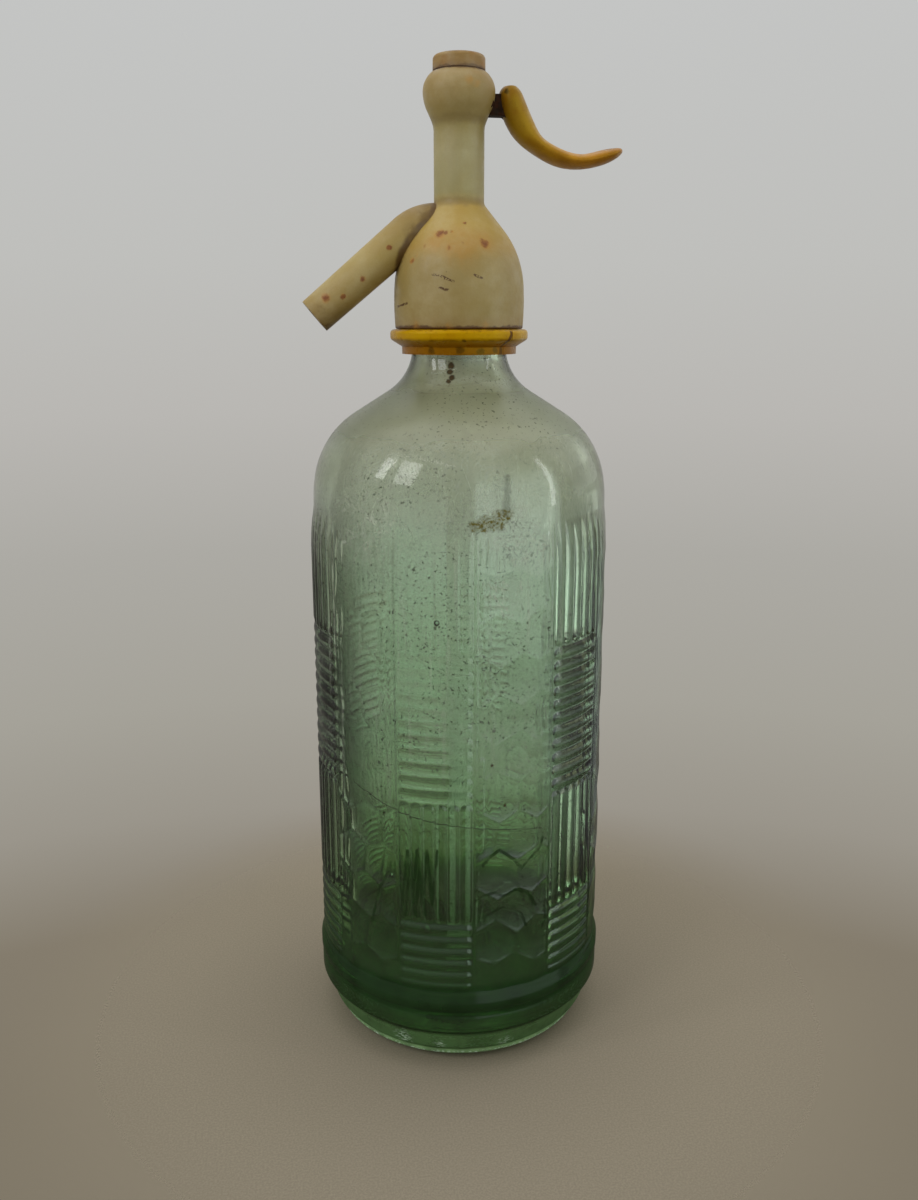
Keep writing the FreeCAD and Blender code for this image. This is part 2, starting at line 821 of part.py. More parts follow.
def make_dip_tube():
    """Plain tube with a slanting lower end, so that it can't seal itself against the floor."""
    tube = turned(
        "dip_tube_straight",
        [
            (S.tube_bore_radius, tube_bottom),
            (S.tube_radius, tube_bottom),
            (S.tube_radius, tube_top),
            (S.tube_bore_radius, tube_top),
        ],
    )
    wedge = doc.addObject("Part::Box", "dip_tube_wedge")
    wedge.Placement.Rotation = FreeCAD.Rotation(FreeCAD.Vector(0, -1, 0), 1)
    wedge.setExpression("Placement.Rotation.Angle", f"{S.tube_cut_angle.text} * 1 deg")
    side = S.tube_radius * 4
    drop = S.tube_radius * 2
    bind(
        wedge,
        Length=side,
        Width=side,
        Height=drop,
        base_x=-S.tube_radius + drop * sine(S.tube_cut_angle),
        base_y=-side / 2,
        base_z=tube_bottom - drop * cosine(S.tube_cut_angle),
    )
    return cut("dip_tube", tube, wedge)


def make_tube_grommet():
    inner = S.tube_radius + S.grommet_clearance
    top = seat_tail_bottom + S.grommet_thickness
    return turned(
        "tube_grommet",
        [
            (inner, seat_tail_bottom),
            (S.grommet_radius, seat_tail_bottom),
            (S.grommet_radius, top),
            (inner, top),
        ],
    )


def make_tube_nut():
    bottom = seat_tail_bottom - S.tube_nut_floor
    inner = S.seat_tail_radius + S.tube_nut_clearance
    hole = S.tube_radius + S.tube_nut_hole_clearance
    return turned(
        "tube_nut",
        [
            (hole, bottom),
            (S.tube_nut_radius, bottom, S.tube_nut_edge),
            (S.tube_nut_radius, bottom + S.tube_nut_height, S.tube_nut_edge),
            (inner, bottom + S.tube_nut_height),
            (inner, seat_tail_bottom),
            (hole, seat_tail_bottom),
        ],
    )


# ---------------------------------------------------------------- the valve
def make_valve_washer():
    inner = S.screw_radius + S.washer_hole_clearance
    return turned(
        "valve_washer",
        [
            (inner, washer_bottom),
            (S.washer_radius, washer_bottom),
            (S.washer_radius, washer_top),
            (inner, washer_top),
        ],
    )


def make_washer_screw():
    screw = turned(
        "washer_screw_turned",
        [
            (ORIGIN, washer_bottom - S.screw_head_thickness),
            (S.screw_head_radius, washer_bottom - S.screw_head_thickness),
            (S.screw_head_radius, washer_bottom),
            (S.screw_radius, washer_bottom),
            (S.screw_radius, washer_top + S.screw_grip),
            (ORIGIN, washer_top + S.screw_grip),
        ],
    )
    bottom = washer_bottom - S.screw_head_thickness
    slot = block(
        "washer_screw_slot",
        (-S.screw_head_radius * 2, -S.screw_slot_width / 2, bottom - S.screw_slot_depth),
        (S.screw_head_radius * 2, S.screw_slot_width / 2, bottom + S.screw_slot_depth),
    )
    return cut("washer_screw", screw, slot)


def make_valve_piston():
    """Washer cup, slim neck across the outlet port, and a piston with two ring grooves."""
    hole = S.screw_radius + S.screw_hole_clearance
    recess = S.washer_radius + S.washer_cup_clearance
    cup_edge = washer_top - S.cup_depth
    groove_root = piston_radius - S.piston_groove_depth
    tail_hole = S.spindle_tail_radius + S.spindle_tail_clearance
    tail_bottom = piston_top - S.spindle_tail_length - S.spindle_tail_clearance
    corners = [
        (hole, washer_top),
        (recess, washer_top),
        (recess, cup_edge),
        (cup_radius, cup_edge),
        (cup_radius, cup_top),
        (S.piston_neck_radius, cup_top),
        (S.piston_neck_radius, piston_bottom - S.piston_chamfer),
        (piston_radius, piston_bottom),
    ]
    for groove in range(2):
        low = piston_bottom + S.piston_groove_offset + S.piston_groove_spacing * groove
        high = low + S.piston_groove_width
        corners += [(piston_radius, low), (groove_root, low), (groove_root, high), (piston_radius, high)]
    corners += [
        (piston_radius, piston_top),
        (tail_hole, piston_top),
        (tail_hole, tail_bottom),
        (ORIGIN, tail_bottom),
        (ORIGIN, washer_top + S.screw_grip + S.screw_hole_clearance),
        (hole, washer_top + S.screw_grip + S.screw_hole_clearance),
    ]
    return turned("valve_piston", corners)


def make_piston_ring(name, groove):
    ring = doc.addObject("Part::Torus", name)
    ring.Label = name
    middle = piston_bottom + S.piston_groove_offset + S.piston_groove_spacing * groove
    return bind(
        ring,
        Radius1=S.column_bore_radius - S.o_ring_clearance - S.o_ring_wire_radius,
        Radius2=S.o_ring_wire_radius,
        base_z=middle + S.piston_groove_width / 2,
    )


def make_spindle():
    """Rod from the piston to the yoke, whose slot takes the lever's nose."""
    turned_spindle = turned(
        "spindle_turned",
        [
            (ORIGIN, piston_top - S.spindle_tail_length),
            (S.spindle_tail_radius, piston_top - S.spindle_tail_length),
            (S.spindle_tail_radius, piston_top),
            (S.spindle_radius, piston_top),
            (S.spindle_radius, yoke_bottom),
            (S.yoke_radius, yoke_bottom),
            (S.yoke_radius, yoke_slot_roof),
            (yoke_top_radius, yoke_slot_roof),
            (yoke_top_radius, yoke_top),
            (S.yoke_spigot_radius, yoke_top),
            (S.yoke_spigot_radius, yoke_top + S.yoke_spigot_length),
            (ORIGIN, yoke_top + S.yoke_spigot_length),
        ],
    )
    slot = block(
        "yoke_slot",
        (-S.yoke_slot_back, -yoke_half_slot, yoke_slot_floor),
        (S.yoke_radius * 2, yoke_half_slot, yoke_slot_roof),
    )
    relief = block(
        "yoke_relief",
        (S.yoke_jaw_reach, -yoke_half_slot, yoke_bottom),
        (S.yoke_radius * 2, yoke_half_slot, yoke_slot_roof),
    )
    return cut("spindle", turned_spindle, fused("yoke_cutters", [slot, relief]))


def make_spindle_guide():
    bore = S.spindle_radius + S.spindle_clearance
    bottom = chamber_floor_level - S.guide_length
    return turned(
        "spindle_guide",
        [
            (bore, bottom),
            (S.guide_radius, bottom),
            (S.guide_radius, chamber_floor_level),
            (bore, chamber_floor_level),
        ],
    )


def make_return_spring():
    """Round wire wound from the yoke's top to the cap's ceiling."""
    foot = yoke_top + S.spring_seat_gap + S.spring_wire_radius
    head = cap_ceiling - S.spring_seat_gap - S.spring_wire_radius
    height = head - foot
    body = new_body("return_spring")
    sketch = front_sketch(body, "return_spring_wire")
    centre = FreeCAD.Vector(S.spring_radius.value, foot.value, 0)
    circle = sketch.addGeometry(
        Part.Circle(centre, FreeCAD.Vector(0, 0, 1), S.spring_wire_radius.value)
    )
    radius = sketch.addConstraint(Sketcher.Constraint("Radius", circle, S.spring_wire_radius.value))
    sketch.setExpression(f"Constraints[{radius}]", S.spring_wire_radius.text)
    pin_point(sketch, circle, 3, S.spring_radius, foot)
    coil = body.newObject("PartDesign::AdditiveHelix", "return_spring_coil")
    coil.Profile = sketch
    coil.ReferenceAxis = (sketch, ["V_Axis"])
    coil.Mode = "height-turns-angle"
    coil.setExpression("Height", height.text)
    coil.setExpression("Turns", S.spring_turns.text)
    body.Tip = coil
    return body


# ---------------------------------------------------------------- cap and lever
def make_top_cap():
    """Screw cap with a hollow that houses the return spring."""
    corners = [
        (S.cap_base_radius, cap_base_level),
        (S.cap_top_radius, cap_edge_level, S.cap_edge_round),
        (ORIGIN, cap_top),
        (ORIGIN, cap_ceiling),
        (S.cap_bore_radius, cap_ceiling),
        (S.cap_bore_radius, cap_skirt_bottom),
        (S.cap_skirt_radius, cap_skirt_bottom),
    ]
    corners += threads(
        S.cap_skirt_radius,
        S.cap_thread_depth,
        cap_thread_start,
        S.cap_thread_pitch,
        S.cap_thread_land,
        CAP_THREAD_COUNT,
    )
    corners += [(S.cap_skirt_radius, cap_base_level)]
    return turned("top_cap", corners)


def make_cap_washer():
    inner = head_thread_radius
    outer = S.bulb_rim_radius - S.cap_washer_inset
    return turned(
        "cap_washer",
        [
            (inner, bulb_rim_level),
            (outer, bulb_rim_level),
            (outer, cap_base_level),
            (inner, cap_base_level),
        ],
    )


def make_lever_arm():
    """Steel plate: round nose in the yoke, boss on the pin, and a tang inside the handle."""
    boss_top = pivot_level + S.boss_radius
    boss_bottom = pivot_level - S.boss_radius
    waist_top = pivot_level + S.arm_waist
    waist_bottom = pivot_level - S.arm_waist
    tang_reach = pivot_reach + S.tang_end_reach
    tang_level = pivot_level + S.tang_end_height
    tang_across = S.tang_half_width * sine(S.tang_fall)
    tang_up = S.tang_half_width * cosine(S.tang_fall)
    strip = plate(
        "lever_arm_plate",
        [
            (S.nose_offset, waist_bottom),
            (pivot_reach, waist_bottom),
            (pivot_reach, boss_bottom),
            (pivot_reach + S.tang_root_reach, boss_bottom),
            (tang_reach - tang_across, tang_level - tang_up),
            (tang_reach + tang_across, tang_level + tang_up),
            (pivot_reach + S.tang_shoulder_reach, boss_top),
            (pivot_reach, boss_top),
            (pivot_reach, waist_top),
            (S.nose_offset, waist_top),
        ],
        S.arm_thickness,
    )
    half = S.arm_thickness / 2
    nose = lever_rod("lever_arm_nose", S.nose_radius, half, half, S.nose_offset)
    boss = lever_rod("lever_arm_boss", S.boss_radius, half, half, pivot_reach)
    hole_radius = S.pin_radius + S.pin_clearance
    hole = lever_rod("lever_arm_hole", hole_radius, S.arm_thickness, S.arm_thickness, pivot_reach)
    return cut("lever_arm", fused("lever_arm_solid", [strip, nose, boss]), hole)


def make_handle(arm):
    """Moulded handle: a loft of ovals, closed round the arm's tang."""
    ovals = []
    last = len(HANDLE_SECTIONS) - 1
    for i, section in enumerate(HANDLE_SECTIONS):
        reach, height, half_thickness, share = (
            Size(number, f"sizes.handle_{i}_{name}") for name, number in zip(SECTION_VALUES, section)
        )
        before = HANDLE_SECTIONS[max(i - 1, 0)]
        after = HANDLE_SECTIONS[min(i + 1, last)]
        along = FreeCAD.Vector(after[0] - before[0], 0, after[1] - before[1])
        wide = FreeCAD.Vector(0, 1, 0)
        oval = doc.addObject("Part::Ellipse", f"handle_section_{i}")
        oval.Placement.Rotation = FreeCAD.Rotation(wide, along.cross(wide), along, "ZXY")
        bind(
            oval,
            MajorRadius=S.handle_half_width * share,
            MinorRadius=half_thickness,
            base_x=pivot_reach + reach,
            base_z=pivot_level + height,
        )
        ovals.append(oval)
    loft = doc.addObject("Part::Loft", "handle_loft")
    loft.Sections = ovals
    loft.Solid = True
    return cut("lever_handle", loft, arm)


def make_lever_pin():
    """Blind on the -Y side, so its end shows on the +Y side only."""
    near = S.pin_near_length - S.pin_fit
    pin = lever_rod("lever_pin", S.pin_radius, near, S.pin_far_length, pivot_reach)
    pin.Label = "lever_pin"
    return pin


def make_all():
    """Every sub-part of the siphon."""
    spout_bore = spout_run("spout_bore", S.spout_bore_radius, S.spout_bore_radius)
    arm = make_lever_arm()
    return [
        make_bottle(),
        make_collar_half("collar_half_right", 0),
        make_collar_half("collar_half_left", HALF_TURN),
        make_head(spout_bore),
        make_spout(spout_bore),
        make_mouth_gasket(),
        make_seat_bush(),
        make_seat_gasket(),
        make_dip_tube(),
        make_tube_grommet(),
        make_tube_nut(),
        make_valve_washer(),
        make_washer_screw(),
        make_valve_piston(),
        make_piston_ring("piston_ring_lower", 0),
        make_piston_ring("piston_ring_upper", 1),
        make_spindle(),
        make_spindle_guide(),
        make_return_spring(),
        make_top_cap(),
        make_cap_washer(),
        arm,
        make_handle(arm),
        make_lever_pin(),
    ]


def check(nodes):
    """Stop at any object that failed and at any sub-part without one valid shape."""
    for item in doc.Objects:
        if "Invalid" in item.State or "Error" in item.State:
            raise RuntimeError(f"{item.Name} did not build: {item.State}")
    for node in nodes:
        if node.Shape.isNull() or not node.Shape.isValid() or not node.Shape.Solids:
            raise RuntimeError(f"{node.Label} has no valid solid")


nodes = make_all()
doc.recompute()
check(nodes)
os.makedirs("parts", exist_ok=True)
for node in nodes:
    node.Shape.exportStep(os.path.join("parts", node.Label + ".step"))
    box = node.Shape.BoundBox
    print(f"{node.Label}: {len(node.Shape.Solids)} solid, {node.Shape.Volume:.1f} mm3, top {box.ZMax:.2f}")
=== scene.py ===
"""Looks of the soda siphon: pressed green glass, aged plastic head and spout, ochre collar, tan lever."""

import math

import bpy
import numpy as np
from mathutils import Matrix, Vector


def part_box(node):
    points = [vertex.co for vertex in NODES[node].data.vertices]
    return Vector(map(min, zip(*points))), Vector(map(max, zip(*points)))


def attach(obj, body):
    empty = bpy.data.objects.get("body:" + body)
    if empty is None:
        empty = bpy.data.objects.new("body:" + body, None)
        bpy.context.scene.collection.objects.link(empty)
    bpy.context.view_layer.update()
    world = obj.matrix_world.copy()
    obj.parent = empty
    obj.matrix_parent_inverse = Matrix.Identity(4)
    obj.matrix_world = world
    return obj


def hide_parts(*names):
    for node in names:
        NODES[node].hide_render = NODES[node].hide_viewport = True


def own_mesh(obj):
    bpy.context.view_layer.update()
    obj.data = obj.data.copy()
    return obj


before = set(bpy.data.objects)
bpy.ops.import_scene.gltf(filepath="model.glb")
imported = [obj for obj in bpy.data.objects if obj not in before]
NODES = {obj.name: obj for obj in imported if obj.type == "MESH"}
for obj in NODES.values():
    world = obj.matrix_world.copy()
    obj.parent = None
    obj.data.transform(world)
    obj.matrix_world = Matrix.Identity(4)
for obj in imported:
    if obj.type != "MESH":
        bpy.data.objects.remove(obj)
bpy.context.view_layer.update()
MM = 0.001
FRONT = -99.0  # degrees from +X to the side that faces the camera


def srgb(*levels):
    """A colour given as 0-255 screen levels, as linear light."""
    scaled = [level / 255 for level in levels]
    return tuple(c / 12.92 if c <= 0.04045 else ((c + 0.055) / 1.055) ** 2.4 for c in scaled) + (1.0,)


def greys(*stops):
    """Ramp stops with one level for all channels."""
    return [(at, (level,) * 4) for at, level in stops]


def tones(*stops):
    """Ramp stops from rows of a place and three screen levels."""
    return [(at, srgb(*levels)) for at, *levels in stops]


# ---------------------------------------------------------------- node materials


class Nodes:
    """A node tree, written down as short calls."""

    def __init__(self, tree):
        self.tree = tree
        tree.nodes.clear()

    def put(self, socket, value):
        if isinstance(value, bpy.types.NodeSocket):
            self.tree.links.new(value, socket)
        else:
            socket.default_value = value

    def add(self, kind, *inputs, **settings):
        """A node by its name after ShaderNode, with values or other nodes' outputs for its first inputs."""
        node = self.tree.nodes.new("ShaderNode" + kind)
        for key, value in settings.items():
            setattr(node, key, value)
        for socket, value in zip(node.inputs, inputs):
            self.put(socket, value)
        return node

    def math(self, operation, *values, clamp=False):
        return self.add("Math", *values, operation=operation, use_clamp=clamp).outputs[0]

    def plus(self, a, b):
        return self.math("ADD", a, b)

    def times(self, first, *others):
        for value in others:
            first = self.math("MULTIPLY", first, value)
        return first

    def most(self, first, *others):
        for value in others:
            first = self.math("MAXIMUM", first, value)
        return first

    def vector(self, operation, *values, scale=None):
        """A step of vector arithmetic, which gives a number for DOT_PRODUCT and DISTANCE."""
        node = self.add("VectorMath", *values, operation=operation)
        if scale is not None:
            self.put(node.inputs["Scale"], scale)
        return node.outputs["Value" if operation in ("DOT_PRODUCT", "DISTANCE") else "Vector"]

    def colours(self, share, stops, low, high):
        """Colours by a share of the way from low to high."""
        node = self.add("ValToRGB", share)
        elements = node.color_ramp.elements
        while len(elements) < len(stops):
            elements.new(0.5)
        for element, (at, colour) in zip(elements, stops):
            element.position = (at - low) / (high - low)
            element.color = colour
        return node.outputs[0]

    def blend(self, share, under, over):
        """One shader over another."""
        return self.add("MixShader", share, under, over).outputs[0]


class Paint(Nodes):
    """A material; places are in millimetres in the object's frame."""

    def __init__(self, name):
        self.material = bpy.data.materials.new(name)
        self.material.use_nodes = True
        super().__init__(self.material.node_tree)
        self.place = self.vector("SCALE", self.add("TexCoord").outputs["Object"], scale=1 / MM)
        self.x, self.y, self.z = self.add("SeparateXYZ", self.place).outputs

    def noise(self, scale, detail=3.0, rough=0.55, warp=0.0, stretch=None, shift=(0, 0, 0)):
        """Noise between 0 and 1; scale is in waves per millimetre."""
        source = self.place
        if stretch or any(shift):
            mapping = self.add("Mapping", source)
            mapping.inputs["Location"].default_value = shift
            mapping.inputs["Scale"].default_value = stretch or (1, 1, 1)
            source = mapping.outputs[0]
        node = self.add("TexNoise", source)
        node.inputs["Scale"].default_value = scale
        node.inputs["Detail"].default_value = detail
        node.inputs["Roughness"].default_value = rough
        node.inputs["Distortion"].default_value = warp
        return node.outputs["Fac"]

    def span(self, value, low, high, to_low=0.0, to_high=1.0):
        """Smooth step of a value from low to high."""
        inputs = (value, low, high, to_low, to_high)
        return self.add("MapRange", *inputs, interpolation_type="SMOOTHSTEP").outputs[0]

    def band(self, value, centre, half, soft):
        """1 within half of centre, falling to 0 over soft."""
        gap = self.math("ABSOLUTE", self.math("SUBTRACT", value, centre))
        return self.span(gap, half, half + soft, 1.0, 0.0)

    def ramp(self, value, stops, low, high):
        """Colours at stated values between low and high."""
        share = self.math("DIVIDE", self.math("SUBTRACT", value, low), high - low, clamp=True)
        return self.colours(share, stops, low, high)

    def mix(self, share, a, b, blend="MIX"):
        node = self.add("Mix", share, data_type="RGBA", blend_type=blend)
        self.put(node.inputs[6], a)
        self.put(node.inputs[7], b)
        return node.outputs[2]

    def pushed(self, source, wobble, scale, detail=2.0):
        """A place moved by between 0 and the wobble along each axis."""
        node = self.add("TexNoise", self.place)
        node.inputs["Scale"].default_value = scale
        node.inputs["Detail"].default_value = detail
        return self.vector("MULTIPLY_ADD", node.outputs["Color"], (wobble,) * 3, source)

    def spots(self, places, wobble=1.5, scale=0.5, soft=0.55):
        """Ragged spots; each place is (x, y, z, radius), and soft is the part of the radius that is full."""
        moved = self.pushed(self.place, wobble, scale, detail=4.0)
        masks = []
        for x, y, z, radius in places:
            gap = self.vector("DISTANCE", moved, (x + wobble / 2, y + wobble / 2, z + wobble / 2))
            masks.append(self.span(gap, radius * soft, radius * 1.1, 1.0, 0.0))
        return self.most(*masks)

    def line(self, points, half, soft, wobble, mirrored=False):
        """Mask along straight runs between points, on both sides of the XZ plane if mirrored."""
        source = self.place
        if mirrored:
            near_side = self.times(self.math("ABSOLUTE", self.y), -1.0)
            source = self.add("CombineXYZ", self.x, near_side, self.z).outputs[0]
        source = self.vector("SUBTRACT", self.pushed(source, wobble, 0.4), (wobble / 2,) * 3)
        masks = []
        for start, end in zip(points, points[1:]):
            start, run = Vector(start), Vector(end) - Vector(start)
            offset = self.vector("SUBTRACT", source, start)
            along = self.vector("DOT_PRODUCT", offset, run / run.length_squared)
            foot = self.vector("SCALE", run, scale=self.math("ADD", along, 0.0, clamp=True))
            masks.append(self.span(self.vector("DISTANCE", offset, foot), half, half + soft, 1.0, 0.0))
        return self.most(*masks)

    def bump(self, height, distance, strength=1.0, under=None):
        """Surface relief from a height; distance is in millimetres."""
        node = self.add("Bump")
        node.inputs["Strength"].default_value = strength
        node.inputs["Distance"].default_value = distance * MM
        self.put(node.inputs["Height"], height)
        if under is not None:
            self.put(node.inputs["Normal"], under)
        return node.outputs[0]

    def shader(self, kind, **inputs):
        """A shader by the last word of its name, such as Diffuse."""
        node = self.add("Bsdf" + kind)
        for name, value in inputs.items():
            self.put(node.inputs[name.replace("_", " ")], value)
        return node.outputs[0]

    def plastic(self, colour, gloss, relief, depth, **more):
        """Moulded plastic; gloss is (waves per mm, lowest, highest), and depth is in metres."""
        waves, low, high = gloss
        surface = self.shader(
            "Principled",
            Base_Color=colour,
            Roughness=self.span(self.noise(waves, detail=4), 0.3, 0.7, low, high),
            IOR=PLASTIC_IOR,
            Subsurface_Radius=depth,
            Normal=relief,
            **more,
        )
        return self.finish(surface)

    def finish(self, *surface_and_volume):
        self.add("OutputMaterial", *surface_and_volume)
        return self.material


def paint_nodes(material, *names):
    """Give CAD nodes their material."""
    for name in names:
        for slot in NODES[name].material_slots:
            slot.material = material


def add_piece(name, data):
    """A new object in the scene for a mesh, lamp or camera."""
    made = bpy.data.objects.new(name, data)
    bpy.context.scene.collection.objects.link(made)
    return made


def new_mesh(name, points, faces):
    mesh = bpy.data.meshes.new(name)
    mesh.from_pydata(points, [], faces)
    return mesh


def wire_ring(turn, reach, up, radius, sides):
    """Section of a wire that runs round the axis: its points at an angle, a reach and a height."""
    points = []
    for k in range(sides):
        swing = math.tau * k / sides
        across = (reach + radius * math.cos(swing)) * MM
        high = (up + radius * math.sin(swing)) * MM
        points.append((across * math.cos(turn), across * math.sin(turn), high))
    return points


# ---------------------------------------------------------------- the glass bottle

# Corners of the wall's section in mm, (across, up) or (across, up, rounding), from the foot's middle
# up the outside to the lip, and down the inside to the floor.
OUTSIDE = [
    (0, 8), (14, 8, 12), (31, 0), (38.9, 0, 6), (43.0, 3.1, 1.2), (42.9, 4.5, 0.3), (44.8, 6.4, 2),
    (46, 10.5, 3), (46, 12.3), (48.5, 14.5, 1.2), (48.5, 20.0), (47.9, 21.2), (48.75, 22.6),
    (48.75, 25.4), (48, 26.8), (48, 175.3, 129), (43.8, 199.1, 28.5), (14.6, 217.4, 16.5),
    (14.6, 239.5), (16.2, 239.5), (16.2, 245, 1.2),
]
INSIDE = [
    (10, 245, 1.2), (10, 213.9, 16.5), (38.3, 197.1, 20), (42.5, 175.3, 123.5), (42.5, 16, 12), (0, 16),
]
ARC_STEP = math.radians(5)
SIDE_SHARE = 0.998  # of a side, that the roundings at its two ends may take
PATTERN = (27.5, 181.0)  # the heights between which the wall is patterned
PATTERN_ROW = 0.5  # mm between rows there
PLAIN_ROW = 4.0  # mm at most between rows elsewhere


def rounded(corners):
    """Points along straight sides joined by arcs."""
    spots = [Vector(corner[:2]) for corner in corners]

    def half_angle(i):
        return (spots[i - 1] - spots[i]).angle(spots[i + 1] - spots[i]) / 2

    runs = [
        corner[2] / math.tan(half_angle(i)) if len(corner) == 3 else 0 for i, corner in enumerate(corners)
    ]
    points = [spots[0]]
    for i in range(1, len(corners) - 1):
        if not runs[i]:
            points.append(spots[i])
            continue
        beside = (i - 1, i + 1)
        room = [SIDE_SHARE * (spots[j] - spots[i]).length / (runs[i] + runs[j]) for j in beside]
        share = min([1.0] + room)
        run, radius = runs[i] * share, corners[i][2] * share
        towards = [(spots[j] - spots[i]).normalized() for j in beside]
        centre = spots[i] + (towards[0] + towards[1]).normalized() * math.hypot(run, radius)
        start, end = [spots[i] + way * run - centre for way in towards]
        turn = start.angle_signed(end)
        count = max(2, math.ceil(abs(turn) / ARC_STEP))
        for k in range(count + 1):
            cos, sin = math.cos(-turn * k / count), math.sin(-turn * k / count)
            points.append(centre + Vector((start.x * cos - start.y * sin, start.x * sin + start.y * cos)))
    points.append(spots[-1])
    return points


def bottle_rows():
    """(across, up, 1 inside the bottle) of every row of the glass, foot to lip to floor."""
    path = rounded(OUTSIDE + INSIDE)
    lip = max(range(len(path)), key=lambda i: (path[i].y, path[i].x))
    rows = [(path[0].x, path[0].y, 0.0)]
    low, high = PATTERN
    for i, (a, b) in enumerate(zip(path, path[1:])):
        inside = float(i >= lip)
        patterned = low <= (a.y + b.y) / 2 <= high or (a.y < high and b.y > low)
        row = PATTERN_ROW if patterned and not inside else PLAIN_ROW
        count = max(1, math.ceil((b - a).length / row))
        for k in range(1, count + 1):
            spot = a.lerp(b, k / count)
            rows.append((spot.x, spot.y, inside))
    return np.array(rows)


# The pressed pattern: ribbed columns with dished panels between them. Places round the wall are in
# degrees from a column's centre, heights above the wall and half widths in mm.
COLUMNS = 6
SPACING = 60.0
COLUMN_HALF = 14.0
NEAR_COLUMN, RIGHT_COLUMN = 0, 1  # the one that faces the camera, worn faint, and the one right of it
FLUTES = 6
FLUTE_SHARE = 0.47  # half a flute's width, as a share of the flutes' pitch
UPPER_FLUTES = (139.6, 179.0)
LOWER_FLUTES = (52.6, 92.4)
UPPER_RIBS = (137.2, 133.0, 128.9, 124.8, 120.8, 116.6, 112.1, 107.9, 103.4, 99.1, 94.8)
LOWER_RIBS = (50.2, 46.1, 42.0, 37.9, 33.8, 30.2)
BORDER_LINES = (-15.2, 15.2)
WAVY_LINES = (  # place, sway and waves per mm of height
    (-17.2, 0.8, 0.13), (-19.6, 1.3, 0.08), (17.4, 0.7, 0.1), (20.0, 1.2, 0.07),
)
BAR = (17.0, 91.0, 15.5, 1.3)  # place, middle height, half length and half width
FACET_REACH = 7.5  # mm from a facet's middle to where it is as high as it gets
FACET_ROWS = 12
FACET_FOOT, FACET_PITCH = 32.0, 12.55  # height of the lowest row, and the rows' distance
PER_DEGREE = math.radians(48.0)  # mm round the wall


def smooth(value, low, high):
    share = np.clip((value - low) / (high - low), 0, 1)
    return share * share * (3 - 2 * share)


def capsule(across, up, half_length, half_width):
    """Height share of a round-ended rib, 1 on its spine."""
    beyond = np.maximum(np.abs(up) - half_length, 0)
    return np.sqrt(np.clip(1 - (across**2 + beyond**2) / half_width**2, 0, 1))


def facets(around, up, seeds):
    """Shares of a dished facet's rise and of the crisp ridge between two facets."""
    first = np.full(np.broadcast(around, up).shape, 1e3)
    second = first.copy()
    for a, z in seeds:
        gap = np.hypot((around - a) * PER_DEGREE, up - z)
        second = np.minimum(second, np.maximum(first, gap))
        first = np.minimum(first, gap)
    return np.clip(first / FACET_REACH, 0, 1) ** 2, np.exp(-((second - first) ** 2))


def facet_seeds(number):
    """Middles of one panel's facets, in rows of three and two, each a little out of place."""
    jitter = np.random.default_rng(20 + number)
    seeds = []
    for k in range(FACET_ROWS):
        for place in ((-14.7, 1.3, 17.3) if k % 2 == 0 else (-6.7, 9.4)):
            drift = jitter.uniform(-1, 1, 2)
            seeds.append((place + 1.5 * drift[0], FACET_FOOT + FACET_PITCH * k + 1.7 * drift[1]))
    return seeds


